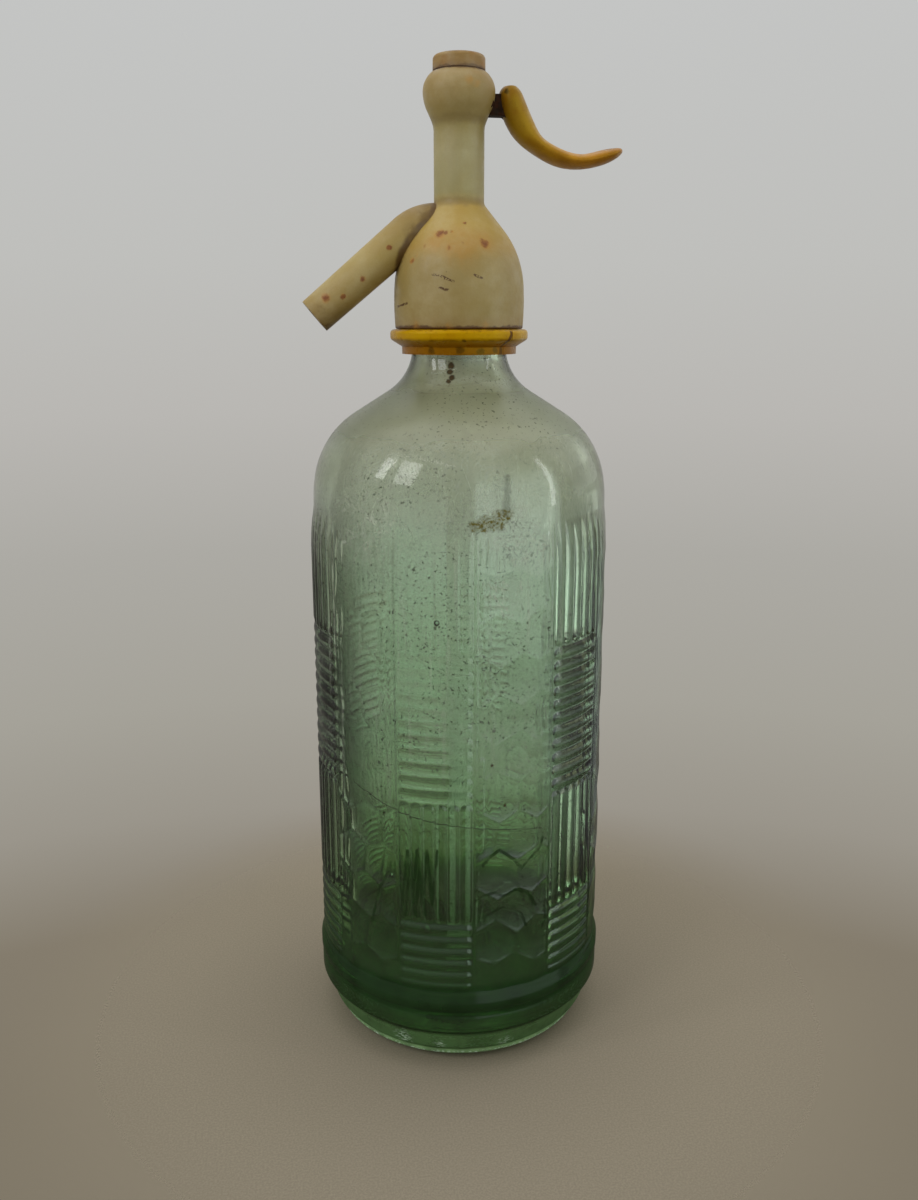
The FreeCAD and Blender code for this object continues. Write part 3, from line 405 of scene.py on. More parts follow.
def pattern(angle, up):
    """How far the pattern stands off the wall, in mm, and how much painted shade a place gets in the grooves,
    along the wavy lines and along the facets' creases.
    """
    in_column = (angle + SPACING / 2) % SPACING - SPACING / 2
    column = np.floor((angle + SPACING / 2) / SPACING).astype(int) % COLUMNS
    near = column == NEAR_COLUMN
    shape = np.zeros(np.broadcast(angle, up).shape)
    ridges = shape.copy()
    inside = np.abs(in_column) < COLUMN_HALF
    pitch = 2 * COLUMN_HALF / FLUTES
    across = (((in_column + COLUMN_HALF) / pitch) % 1 - 0.5) * pitch * PER_DEGREE
    half = FLUTE_SHARE * pitch * PER_DEGREE
    for (low, high), height in ((UPPER_FLUTES, 0.55 * np.where(near, 0.3, 1.0)), (LOWER_FLUTES, 0.5)):
        flute = capsule(across, up - (low + high) / 2, (high - low) / 2 - half, half)
        ridges = np.maximum(ridges, np.where(inside, flute, 0))
        shape = np.maximum(shape, np.where(inside, flute * height, 0))
    faint = np.where(near, 0.3 + 0.5 * smooth(136.0 - up, 0.0, 40.0), 1.0)
    for centres, half, height in ((UPPER_RIBS, 1.95, 0.56 * faint), (LOWER_RIBS, 1.8, 0.5)):
        for centre in centres:
            rib = capsule(up - centre, in_column * PER_DEGREE, COLUMN_HALF * PER_DEGREE - half, half)
            ridges = np.maximum(ridges, rib)
            shape = np.maximum(shape, rib**1.4 * height)
    depth = np.where(near, 0.2, np.where(column == RIGHT_COLUMN, 0.5, 1.0))
    # Painted shade in the grooves between flutes and ribs, fainter in the column that faces the camera and
    # the one right of it.
    grooves = np.where(inside, (1 - np.clip(ridges, 0, 1)) ** 2.5, 0) * depth
    grooves = grooves * (1 - 0.45 * smooth(up, 90, 95) * (1 - smooth(up, 138, 142)))
    for place in BORDER_LINES:
        line = capsule((in_column - place) * PER_DEGREE, up - 104.5, 73, 0.45)
        shape = np.maximum(shape, line * 0.3)
    for place, sway, wave in WAVY_LINES:
        drift = place + sway * np.sin(up * wave + column * 1.7) + 0.3 * np.sin(up * 0.45 + column)
        line = capsule((in_column - drift) * PER_DEGREE, up - 112, 66, 0.7)
        shape = np.maximum(shape, line * 0.2)
        grooves = np.maximum(grooves, 0.22 * line)
    place, middle, half_length, half = BAR
    bar = capsule((in_column - place) * PER_DEGREE, up - middle, half_length, half)
    shape = np.maximum(shape, bar * 0.35)
    around = angle % SPACING - SPACING / 2
    for number in range(COLUMNS):
        here = np.floor(angle / SPACING).astype(int) % COLUMNS == number
        dish, ridge = facets(around, up, facet_seeds(number))
        strength = 1.0 - 0.55 * smooth(up, 84, 104)
        edge = smooth(15.6 - np.abs(around), 0.0, 1.2)
        shape = np.maximum(shape, np.where(here, (0.42 * dish + 0.08 * ridge) * strength * edge, 0))
        crease = 0.55 * ridge * strength * edge * (1 - smooth(up, 90, 120))
        grooves = np.maximum(grooves, np.where(here, crease, 0))
    fade = smooth(up, 28.0, 30.5) * (1 - smooth(up, 166, 180))
    return shape * fade, grooves * fade


BUBBLES = [  # degrees from the side that faces the camera, height, radius, half length
    (-12.5, 49.4, 0.9, 1.1), (-8.0, 149.0, 0.8, 0.9), (-27.0, 66.0, 0.5, 0.8), (24.0, 41.0, 0.5, 0.6),
    (140.0, 60.0, 0.8, 1.2), (-120.0, 96.0, 0.6, 0.9),
]
SMALL_BUBBLES = 70
BUBBLE_REACH = 45.2  # mm from the axis to a bubble's middle, between the wall's two faces
BUBBLE_RINGS, BUBBLE_SIDES = 5, 10


def add_bubbles(points, faces, marks):
    """Air bubbles inside the glass wall, as closed shells that face inward."""
    drift = np.random.default_rng(3)
    seeds = [
        (drift.uniform(-180, 180), drift.uniform(22, 185), drift.uniform(0.12, 0.28), drift.uniform(0.2, 0.6))
        for _ in range(SMALL_BUBBLES)
    ]
    last_ring = (BUBBLE_RINGS - 1) * BUBBLE_SIDES
    for angle, up, radius, length in BUBBLES + seeds:
        turn = math.radians(angle + FRONT)
        centre = np.array([BUBBLE_REACH * math.cos(turn), BUBBLE_REACH * math.sin(turn), up])
        start = len(points)
        shell = []
        for ring in range(1, BUBBLE_RINGS + 1):
            tilt = math.pi * ring / (BUBBLE_RINGS + 1)
            for k in range(BUBBLE_SIDES):
                swing = math.tau * k / BUBBLE_SIDES
                x = radius * math.sin(tilt) * math.cos(swing)
                y = radius * math.sin(tilt) * math.sin(swing)
                shell.append((x, y, length * math.cos(tilt)))
        top, bottom = start + len(shell), start + len(shell) + 1
        shell += [(0, 0, length), (0, 0, -length)]
        for first in range(start, start + last_ring, BUBBLE_SIDES):
            for k in range(BUBBLE_SIDES):
                a, b = first + k, first + (k + 1) % BUBBLE_SIDES
                faces.append((a, b, b + BUBBLE_SIDES, a + BUBBLE_SIDES))
        for k in range(BUBBLE_SIDES):
            after = (k + 1) % BUBBLE_SIDES
            faces.append((top, start + after, start + k))
            faces.append((bottom, start + last_ring + k, start + last_ring + after))
        points = np.concatenate([points, (centre + np.array(shell)) * MM])
        marks = np.concatenate([marks, np.zeros(len(shell))])
    return points, faces, marks


COLUMN_STEPS, PANEL_STEPS = 96, 72
PATTERN_TURN = -9.0  # degrees from the side that faces the camera to the nearest column
PATTERN_SINK = 0.6  # mm that the patterned wall lies under the plain profile
WAVES = 14


def wall_angles():
    """Degrees of every mesh line up the wall, finer in the columns."""
    panel = SPACING - 2 * COLUMN_HALF
    angles = []
    for k in range(COLUMNS):
        start = SPACING * k - COLUMN_HALF
        angles += list(start + np.arange(COLUMN_STEPS) * (2 * COLUMN_HALF / COLUMN_STEPS))
        angles += list(start + 2 * COLUMN_HALF + np.arange(PANEL_STEPS) * (panel / PANEL_STEPS))
    return np.array(angles)


def wall_waves(angle, up):
    """The slow swell of a blown wall."""
    rng = np.random.default_rng(7)
    waves = np.zeros(np.broadcast(angle, up).shape)
    for _ in range(WAVES):
        turns, rise, at = rng.integers(2, 13), rng.uniform(-1, 1) / 40, rng.uniform(0, 6.3, 2)
        waves += np.sin(np.radians(angle) * turns + at[0] + up * rise * 6.3) * np.cos(up * rise * 3 + at[1])
    return waves / WAVES


def make_bottle():
    rows = bottle_rows()
    angle, across, up, inner = wall_angles()[None, :], rows[1:-1, 0:1], rows[1:-1, 1:2], rows[1:-1, 2:3]
    count, width = len(across), angle.shape[1]
    radius = np.repeat(across, width, axis=1)
    relief, grooves = pattern(angle, up)
    radius += (1 - inner) * smooth(up, 27.0, 29.0) * (1 - smooth(up, 176, 184)) * (relief - PATTERN_SINK)
    grooves = (grooves * (1 - inner)).reshape(-1)
    room = smooth(radius, 30, 42) * smooth(up, 17, 40) * (1 - smooth(up, 190, 215))
    radius += wall_waves(angle, up) * room * np.where(inner > 0, 0.55, 0.0)
    theta = np.radians(angle + FRONT + PATTERN_TURN)
    grid = np.stack([radius * np.cos(theta), radius * np.sin(theta), np.repeat(up, width, axis=1)], axis=-1)
    points = np.concatenate([grid.reshape(-1, 3), [[0, 0, rows[0, 1]], [0, 0, rows[-1, 1]]]]) * MM
    marks = np.concatenate([np.repeat(inner[:, 0], width), [0.0, 1.0]])
    index = np.arange(count * width).reshape(count, width)
    after = np.roll(index, -1, axis=1)
    quads = np.stack([index[:-1], after[:-1], after[1:], index[1:]], axis=-1).reshape(-1, 4)
    low, high = count * width, count * width + 1
    caps = [(low, after[0, j], index[0, j]) for j in range(width)]
    caps += [(index[-1, j], after[-1, j], high) for j in range(width)]
    faces = quads.tolist() + [tuple(map(int, cap)) for cap in caps]
    points, faces, marks = add_bubbles(points, faces, marks)
    mesh = new_mesh("bottle_glass", points.tolist(), faces)
    mesh.polygons.foreach_set("use_smooth", [True] * len(mesh.polygons))
    # The second attribute carries the painted shade of the grooves to the glass material.
    grooves = np.pad(grooves, (0, len(points) - len(grooves)))
    for name, values in (("inside", marks), ("groove_shade", grooves)):
        mesh.attributes.new(name, "FLOAT", "POINT").data.foreach_set("value", values.astype(np.float32))
    mesh.update()
    bottle = add_piece("bottle_glass", mesh)
    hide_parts("bottle")
    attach(bottle, "siphon")
    return bottle


# Painted dark lines that stand in for the relief on the far wall, seen through the glass.
PAINTED_REFRACTION_RUNS = [  # where the relief behind shows as dark zigzags and bows
    [(-25.8, -40.5, 75.8), (-24.5, -41.3, 57.6), (-22.8, -42.2, 76.4), (-21.6, -42.9, 58.2),
     (-19.9, -43.7, 76.9), (-18.6, -44.2, 58.7), (-17.0, -44.9, 77.3), (-15.6, -45.4, 59.1),
     (-14.1, -45.9, 77.6)],
    [(-23.7, -41.8, 54.3), (-22.0, -42.6, 72.9), (-20.7, -43.3, 54.9), (-19.1, -44.0, 73.3),
     (-17.7, -44.6, 55.4)],
    [(-0.2, -48.0, 72.5), (2.6, -47.9, 75.6), (5.1, -47.7, 77.3), (9.0, -47.1, 74.0),
     (12.4, -46.4, 69.9), (18.5, -44.3, 75.1), (19.5, -43.9, 78.3)],
    [(-2.3, -47.9, 60.4), (-0.1, -48.0, 62.3), (4.3, -47.8, 62.8), (6.2, -47.6, 61.2),
     (10.2, -46.9, 62.9), (14.6, -45.7, 60.8), (17.5, -44.7, 55.8)],
    [(1.5, -48.0, 55.3), (5.3, -47.7, 57.5), (9.2, -47.1, 57.5), (12.6, -46.3, 54.0),
     (14.4, -45.8, 49.3)],
    [(20.7, -43.3, 54.6), (21.2, -43.1, 49.9), (19.5, -43.9, 45.5)],
    [(-33.5, -34.4, 49.1), (-31.5, -36.2, 60.6), (-28.5, -38.6, 67.9)],
]
GLASS_IOR = 1.5
GLASS_TOP = 245
# What gathers on the glass, and where glints are painted on its foot: (x, y, z, radius) of ragged spots.
NECK_MARKS = [
    (-4.7, -14.6, 220.8, 1.3), (-5.2, -15.4, 219.0, 1.2), (-4.8, -16.6, 217.3, 1.1),
    (-5.7, -17.0, 216.2, 1.0), (2.4, -47.9, 105.2, 0.7), (6.6, -47.5, 91.7, 0.8),
    (0.2, -48.0, 120.2, 0.7), (-27.0, -39.7, 92.5, 0.6),
]
RESIDUE = [
    (-2.4, -47.3, 177.6, 2.4), (0.6, -47.3, 178.3, 3.0), (3.7, -47.1, 179.0, 3.2), (6.3, -46.6, 180.6, 2.4),
]
BLEED = [(11.0, -46.2, 176.0, 5.0), (15.0, -45.0, 170.0, 6.0), (8.0, -47.0, 168.0, 5.0)]
FROST = [
    (5.0, -47.2, 178.0, 9.0), (14.0, -45.5, 171.0, 9.0), (7.0, -47.0, 158.0, 8.0), (-30.0, -37.0, 180.0, 8.0),
]
# Painted glints on the foot.
PAINTED_HEEL_GLINTS = [(-24.0, -37.5, 8.5, 4.0), (-13.0, -42.5, 8.0, 2.5), (8.0, -44.0, 7.0, 3.0)]


def glass_tint(p, facing):
    """Colour of what passes through: by height, with painted shade towards the sides and in the grooves."""
    tint = p.ramp(
        p.z,
        [
            (0, (0.52, 0.68, 0.56, 1)), (4, (0.46, 0.62, 0.48, 1)), (11.6, (0.42, 0.58, 0.42, 1)),
            (12.8, (0.22, 0.35, 0.2, 1)), (15, (0.2, 0.36, 0.18, 1)), (20, (0.22, 0.4, 0.2, 1)),
            (30, (0.45, 0.80, 0.39, 1)), (40, (0.49, 0.83, 0.46, 1)), (51, (0.54, 0.80, 0.52, 1)),
            (70, (0.73, 0.91, 0.75, 1)), (90, (0.69, 0.85, 0.72, 1)), (114, (0.675, 0.84, 0.72, 1)),
            (138, (0.80, 0.95, 0.84, 1)), (161, (0.86, 0.98, 0.93, 1)), (184, (0.97, 1.0, 0.98, 1)),
            (205, (0.97, 0.97, 0.92, 1)), (222, (0.98, 0.99, 0.96, 1)),
        ],
        0,
        GLASS_TOP,
    )
    streaks = p.noise(0.05, detail=2, stretch=(1, 1, 0.25))
    tint = p.mix(p.span(streaks, 0.35, 0.7, 0.0, 0.25), tint, (0.97, 0.97, 0.93, 1), "MULTIPLY")
    # Painted shade: the tint darkens towards the bottle's outline, most between 95 and 125 mm, and fades to a
    # quarter of that from 172 to 205 mm.
    edge = greys((0, 1.0), (0.2, 0.97), (0.4, 0.72), (0.6, 0.46), (0.8, 0.34), (1, 0.26))
    deep = greys((0, 1.0), (0.25, 0.9), (0.42, 0.5), (0.6, 0.26), (1, 0.14))
    edge, deep = p.ramp(facing, edge, 0, 1), p.ramp(facing, deep, 0, 1)
    edge = p.mix(p.most(p.span(p.z, 125, 165), p.span(p.z, 40, 95, 1.0, 0.0)), deep, edge)
    tint = p.mix(p.span(p.z, 172, 205, 1.0, 0.25), tint, p.mix(1.0, tint, edge, "MULTIPLY"))
    # Painted shade in the grooves, along the wavy lines and the facets' creases, stronger towards the
    # outline.
    groove_shade = p.add("Attribute", attribute_name="groove_shade").outputs["Fac"]
    groove_shade = p.times(groove_shade, p.span(p.noise(0.5, detail=4, stretch=(1, 1, 0.15)), 0.3, 0.6, 0.35, 1.0))
    shade = p.times(groove_shade, p.span(facing, 0.1, 0.45, 0.35, 0.9))
    return p.mix(shade, tint, p.mix(1.0, tint, (0.1, 0.13, 0.08, 1), "MULTIPLY"))


def glass_body(p, facing):
    """The glass itself, which only refracts at its lower sides and on the ledge above the foot, and is
    painted darker there.
    """
    tint = glass_tint(p, facing)
    fine = p.noise(0.45, detail=5, stretch=(1, 1, 0.3))
    relief = p.bump(p.noise(0.012, detail=2), 2.0, 0.35, p.bump(fine, 0.07, 0.35))
    gloss = p.span(p.noise(0.08, detail=5), 0.4, 0.75, 0.0, 0.04)
    gloss = p.plus(gloss, p.times(p.band(p.z, 207, 5, 10), 0.28))
    clear = p.shader(
        "Principled", Base_Color=tint, Roughness=gloss, IOR=GLASS_IOR, Transmission_Weight=1.0, Normal=relief
    )
    # Painted shade: the glass is darker where it only refracts.
    darker = p.mix(1.0, tint, (0.8, 0.86, 0.74, 1), "MULTIPLY")
    dim = p.shader("Refraction", Color=darker, Roughness=gloss, IOR=GLASS_IOR, Normal=relief)
    low_side = p.times(p.span(facing, 0.25, 0.6), p.span(p.z, 150, 185, 0.6, 0.0))
    low_side = p.most(low_side, p.times(p.band(p.z, 25.0, 4.0, 3.0), 0.75))
    return p.blend(low_side, clear, dim)


def lime_film(p, facing):
    """Share and shader of the milky film, thickest inside the neck and the shoulder, with painted shade
    towards the outline.
    """
    # Painted shade: the film's colour darkens towards the bottle's outline.
    film = p.shader(
        "Diffuse", Color=p.mix(p.span(facing, 0.28, 0.65), srgb(205, 201, 175), srgb(96, 88, 56))
    )
    cloud = p.span(p.noise(0.035, detail=6, rough=0.65, stretch=(1, 1, 0.5)), 0.25, 0.65)
    dust = p.times(p.span(p.noise(1.3, detail=2), 0.66, 0.74), 0.5)
    cloud = p.plus(p.times(p.most(cloud, dust), 0.5), 0.5)
    height = p.ramp(
        p.z,
        greys(
            (110, 0), (150, 0.14), (180, 0.3), (196, 0.44), (202, 0.86), (215, 0.9), (219, 0.7),
            (224, 0.2), (229, 0.06),
        ),
        110,
        GLASS_TOP,
    )
    inside = p.add("Attribute", attribute_name="inside").outputs["Fac"]
    share = p.times(cloud, height, p.plus(p.times(inside, 0.8), 0.2))
    shoulder = p.times(p.span(facing, 0.3, 0.8, 0.0, 0.15), p.band(p.z, 202, 12, 14))
    return p.most(share, shoulder), film


def painted_foot_shading(p):
    """Share and colour of painted light and shade round the foot: pale on the ring it stands on and above it,
    where light comes through the thick glass, and darker higher up.
    """
    foot_shading = p.ramp(
        p.z,
        greys(
            (0, 0.85), (4.2, 0.85), (4.8, 0.6), (11.6, 0.6), (12.6, 0.4), (16, 0.4), (32, 0.3), (60, 0)
        ),
        0,
        60,
    )
    colour = p.ramp(
        p.z,
        tones(
            (0, 150, 194, 140), (4.2, 144, 184, 130), (4.8, 104, 144, 94), (11.6, 98, 132, 86),
            (12.6, 48, 74, 42), (16, 56, 88, 50), (32, 66, 102, 62),
        ),
        0,
        60,
    )
    return p.times(foot_shading, p.span(p.noise(0.12, detail=5), 0.3, 0.6, 0.6, 1.0)), colour


def foot_wear_and_painted_glints(p):
    """Share of the bright scratches on the ring that the bottle stands on, worn there and painted bright as
    glints, and of painted glints above it.
    """
    painted_glint = p.spots(PAINTED_HEEL_GLINTS, 2.0, 0.5, 0.2)
    painted_glint = p.times(painted_glint, p.span(p.noise(0.7, detail=5, stretch=(1, 1, 4.0)), 0.5, 0.62))
    scratches = p.span(p.noise(0.9, detail=6, stretch=(1, 1, 2.0)), 0.5, 0.6)
    return p.times(p.most(p.times(p.band(p.z, 2.6, 0.7, 0.8), scratches), painted_glint), 0.8)


def frosting(p):
    """Share of the dried veil with its fine squiggles, and of the streaks that ran down."""
    patchy = p.times(p.span(p.noise(0.022, detail=3, shift=(17, 5, 40)), 0.46, 0.66), 0.7)
    patchy = p.most(patchy, p.spots(FROST, 8.0, 0.1))
    squiggle = p.noise(0.13, detail=6, rough=0.6, warp=1.6, stretch=(1, 1, 0.6))
    squiggle = p.span(p.math("ABSOLUTE", p.math("SUBTRACT", squiggle, 0.5)), 0.0, 0.014, 1.0, 0.0)
    veil = p.times(patchy, p.plus(p.times(squiggle, 0.45), 0.1))
    streak = p.noise(0.55, detail=4, stretch=(1, 1, 0.04), shift=(3, 9, 0))
    share = p.most(veil, p.span(streak, 0.56, 0.72, 0.0, 0.2))
    return p.times(share, p.times(p.span(p.z, 60, 150), p.span(p.z, 196, 212, 1.0, 0.0)))


def dull_runs(p):
    """Share of the grey drip and the crumbs under the residue."""
    drip = p.line([(6.3, -46.4, 181.5), (6.6, -43.9, 191.0)], 0.5, 1.2, 2.0)
    crumbs = p.span(p.noise(1.1, detail=3, shift=(9, 0, 0)), 0.57, 0.64)
    return p.times(p.most(drip, p.times(p.spots(BLEED, 6.0, 0.2), crumbs)), 0.4)


def specks(p):
    """Share of the dark specks, thicker in some patches."""
    share = p.span(p.noise(1.1, detail=2, shift=(60, 0, 11)), 0.64, 0.67)
    share = p.times(share, p.span(p.noise(0.04, detail=2, shift=(0, 30, 0)), 0.4, 0.62, 0.25, 1.0))
    return p.times(share, p.span(p.z, 25, 60, 0.3, 0.75), 0.9)


def refraction_shade_lines(p):
    """Share of the painted dark lines that stand in for the relief behind, seen through the glass."""
    drawn = p.most(*[p.line(run, 0.3, 0.45, 0.8) for run in PAINTED_REFRACTION_RUNS])
    return p.times(drawn, p.span(p.noise(0.25, detail=3, shift=(2, 0, 50)), 0.35, 0.6, 0.45, 0.85))


def residue_share(p):
    lace = p.span(p.noise(1.1, detail=7, rough=0.8), 0.47, 0.56)
    return p.times(p.spots(RESIDUE, wobble=4.0, scale=0.6), p.plus(p.times(lace, 0.75), 0.3))


def glass():
    p = Paint("pressed_green_glass")
    rim = p.add("LayerWeight")
    rim.inputs["Blend"].default_value = 0.5
    facing = rim.outputs["Facing"]
    share, film = lime_film(p, facing)
    shown = p.blend(share, glass_body(p, facing), film)
    foot_shading, foot_shading_colour = painted_foot_shading(p)
    for share, colour in (
        # Painted light and shade round the foot.
        (foot_shading, foot_shading_colour),
        # Pale scratches on the foot's ring, and painted glints.
        (foot_wear_and_painted_glints(p), srgb(206, 234, 214)),
        (frosting(p), srgb(204, 212, 200)),
        (dull_runs(p), srgb(78, 82, 74)),
        (specks(p), srgb(44, 42, 30)),
        # Painted dark lines of the relief behind, seen through the glass.
        (refraction_shade_lines(p), srgb(34, 54, 28)),
        (residue_share(p), srgb(104, 96, 36)),
        (p.times(p.spots(NECK_MARKS, wobble=1.0, scale=0.9), 0.9), srgb(62, 44, 22)),
    ):
        shown = p.blend(share, shown, p.shader("Diffuse", Color=colour))
    body = p.add("VolumeAbsorption")
    body.inputs["Color"].default_value = (0.662, 0.807, 0.543, 1)
    body.inputs["Density"].default_value = 60.0
    return p.finish(shown, body.outputs[0])


HAIRLINE = [  # degrees from the side that faces the camera, and height
    (-52, 93.5), (-44, 91.9), (-33, 88.9), (-20, 86.3), (-7, 84.6), (6, 83.4), (21, 81.8), (32, 80.4),
    (44, 79.0),
]
HAIRLINE_REACH = 42.28  # mm from the axis, on the glass's inner face
HAIRLINE_SIDES = 5
HAIRLINE_STEPS = 8  # between two places


def make_hairline():
    """The fine dried line that runs round the inside of the glass."""
    rim = []
    for (a, up), (b, after) in zip(HAIRLINE, HAIRLINE[1:]):
        for k in range(HAIRLINE_STEPS):
            share = k / HAIRLINE_STEPS
            angle = a + (b - a) * share
            rim.append((angle, up + (after - up) * share + 0.12 * math.sin(2.3 * angle)))
    points, faces = [], []
    sides = HAIRLINE_SIDES
    for i, (angle, up) in enumerate(rim):
        turn = math.radians(angle + FRONT)
        thick = 0.13 * min(1.0, i / 10, (len(rim) - 1 - i) / 14) + 0.01
        points += wire_ring(turn, HAIRLINE_REACH, up, thick, sides)
        if i:
            here = sides * i
            for k in range(sides):
                after = (k + 1) % sides
                faces.append((here - sides + k, here - sides + after, here + after, here + k))
    faces += [tuple(reversed(range(sides))), tuple(range(sides * (len(rim) - 1), sides * len(rim)))]
    mesh = new_mesh("dried_line", points, faces)
    line = add_piece("dried_line", mesh)
    p = Paint("dried_scale")
    crust = p.mix(p.span(p.noise(1.5, detail=3), 0.35, 0.65), srgb(46, 42, 28), srgb(92, 88, 66))
    relief = p.bump(p.noise(3.0), 0.03)
    dull = p.shader("Principled", Base_Color=crust, Roughness=0.8, Normal=relief)
    mesh.materials.append(p.finish(dull))
    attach(line, "siphon")


make_hairline()
bottle = make_bottle()
bottle.data.materials.append(glass())

# ---------------------------------------------------------------- plastics, metals and rubber

PLASTIC_IOR = 1.5


def aged_plastic(
    name, stops, low, high, grime=(), spots=None, smudges=None, creases=(), scuffs=(), smudge_strength=0.6,
    smudge_tone=srgb(150, 102, 18),
):
    """Old moulded plastic: tones by height, mottling, grime bands and ragged stains."""
    p = Paint(name)
    stain = srgb(78, 46, 12)
    colour = p.ramp(p.z, stops, low, high)
    mottle = p.noise(0.09, detail=5, rough=0.6, warp=0.6)
    colour = p.mix(p.span(mottle, 0.35, 0.7, 0.0, 0.4), colour, (1.0, 0.93, 0.78, 1), "MULTIPLY")
    pale = p.noise(0.07, detail=5, rough=0.6, shift=(40, 10, 0))
    colour = p.mix(p.span(pale, 0.4, 0.75, 0.0, 0.25), colour, srgb(214, 203, 164))
    grain = p.noise(2.2, detail=3)
    colour = p.mix(p.span(grain, 0.3, 0.7, 0.0, 0.18), colour, (0.8, 0.74, 0.6, 1), "MULTIPLY")
    if grime:
        level = p.plus(p.z, p.times(p.math("SUBTRACT", p.noise(0.35, detail=4), 0.5), 2.4))
        bands = [p.times(p.band(level, centre, half, soft), share) for centre, half, soft, share in grime]
        colour = p.mix(p.most(*bands), colour, stain)
    for run, half, soft, share in creases:
        colour = p.mix(p.times(p.line(run, half, soft, 1.2, mirrored=True), share), colour, stain)
    for run in scuffs:
        worn = p.times(p.line(run, 0.22, 0.3, 1.2), p.span(p.noise(1.5, detail=3), 0.38, 0.5))
        colour = p.mix(worn, colour, srgb(86, 56, 12))
    if smudges:
        share = p.span(p.noise(0.5, detail=4, shift=(5, 0, 0)), 0.25, 0.65, 0.15, smudge_strength)
        colour = p.mix(p.times(p.spots(smudges, 2.5, soft=0.2), share), colour, smudge_tone)
    if spots:
        halo = [(x, y, z, 1.7 * radius) for x, y, z, radius in spots]
        colour = p.mix(p.times(p.spots(halo, 1.6, 0.5, 0.25), 0.8), colour, srgb(184, 122, 24))
        core = [(x, y, z, radius + 0.4) for x, y, z, radius in spots]
        share = p.span(p.noise(1.2, detail=4), 0.3, 0.6, 0.75, 1.0)
        colour = p.mix(p.times(p.spots(core, 1.7, 0.55, 0.5), share), colour, srgb(120, 62, 4))
    relief = p.bump(p.noise(1.4, detail=4), 0.08, 0.5, p.bump(p.noise(0.12, detail=2), 0.6, 0.35))
    return p.plastic(colour, (0.3, 0.38, 0.58), relief, (0.004, 0.003, 0.0015), Subsurface_Weight=0.12)


def metal(name, colour, dull, metallic=1.0, roughness=(0.25, 0.5), specular=0.5):
    """Worn metal with tarnish in patches."""
    p = Paint(name)
    patch = p.span(p.noise(0.5, detail=4), 0.4, 0.7)
    worn = p.shader(
        "Principled",
        Base_Color=p.mix(patch, colour, dull),
        Metallic=metallic,
        Specular_IOR_Level=specular,
        Roughness=p.span(p.noise(1.1, detail=3), 0.3, 0.7, *roughness),
        Normal=p.bump(p.noise(2.5, detail=3), 0.03, 0.5),
    )
    return p.finish(worn)


HEAD_TONES = tones(  # height, then levels
    (231, 141, 115, 62), (236, 153, 134, 78), (246, 155, 136, 81), (251, 157, 136, 78),
    (255, 169, 139, 68), (261, 177, 149, 69), (267, 176, 149, 70), (271, 160, 152, 104),
    (282, 170, 162, 120), (289, 155, 142, 88), (294, 154, 137, 84), (300, 154, 131, 72),
    (305, 144, 116, 56),
)
RUST_SPOTS = [
    (-8.0, -13.6, 259.0, 1.3), (-6.4, -14.4, 259.4, 0.9), (-5.7, -17.3, 254.9, 0.9),
    (-1.9, -17.4, 256.3, 0.6), (2.0, -17.1, 257.0, 0.5), (5.3, -16.8, 256.2, 1.3),
    (4.6, -16.6, 257.1, 0.8), (-12.7, -12.8, 255.4, 0.7), (0.8, -19.3, 252.1, 0.5),
    (-4.4, -14.6, 259.6, 0.5), (-0.3, -13.1, 261.9, 0.4), (-15.2, -11.5, 253.0, 0.6),
    (-16.3, -10.5, 251.3, 0.8),
]
SCUFFS = [
    [(-9.3, -17.5, 248.2), (-6.8, -18.6, 247.9)], [(-10.9, -16.6, 247.1), (-8.2, -18.1, 246.5)],
    [(-8.5, -18.0, 246.5), (-4.8, -19.4, 245.1)], [(-8.5, -18.1, 243.2), (-6.3, -19.1, 242.6)],
    [(1.3, -19.8, 246.8), (4.0, -19.5, 246.0)], [(0.8, -19.3, 252.1), (1.0, -19.4, 250.8)],
    [(-19.7, -4.3, 238.0), (-17.3, -10.3, 239.1)],
]
HEAD_SMUDGES = [
    (-2.0, -17.5, 256.0, 8.5), (5.0, -16.5, 257.0, 5.0), (-9.0, -14.0, 257.0, 5.0),
    (1.5, -10.6, 300.9, 1.9), (3.6, -10.3, 300.3, 1.5), (5.0, -19.0, 232.8, 1.6), (-6.0, -19.0, 232.3, 1.4),
    (-15.0, -13.0, 232.5, 2.0), (-10.0, 4.0, 299.0, 2.5), (6.0, 12.0, 256.0, 4.0),
]
SPOUT_SEAM = [  # where dirt has gathered between the spout and the head
    (-8.0, -1.5, 268.1), (-8.2, -4.2, 266.5), (-8.9, -5.1, 265.2), (-10.2, -5.7, 263.6), (-12.4, -5.9, 261.3),
    (-16.3, -5.6, 256.9), (-18.4, -5.0, 253.4), (-19.0, -4.1, 251.3), (-19.7, -1.5, 248.8),
]
head_paint = aged_plastic(
    "ivory_plastic_head",
    HEAD_TONES,
    231,
    305,
    grime=[(231.4, 0.7, 0.7, 0.9), (268.2, 0.3, 1.6, 0.3), (291.2, 0.3, 1.8, 0.22), (304.7, 0.1, 0.5, 0.5)],
    scuffs=SCUFFS,
    spots=RUST_SPOTS,
    smudges=HEAD_SMUDGES,
    smudge_strength=0.5,
    smudge_tone=srgb(178, 130, 44),
    creases=[(SPOUT_SEAM, 0.25, 1.0, 0.7)],
)
paint_nodes(head_paint, "head_body")
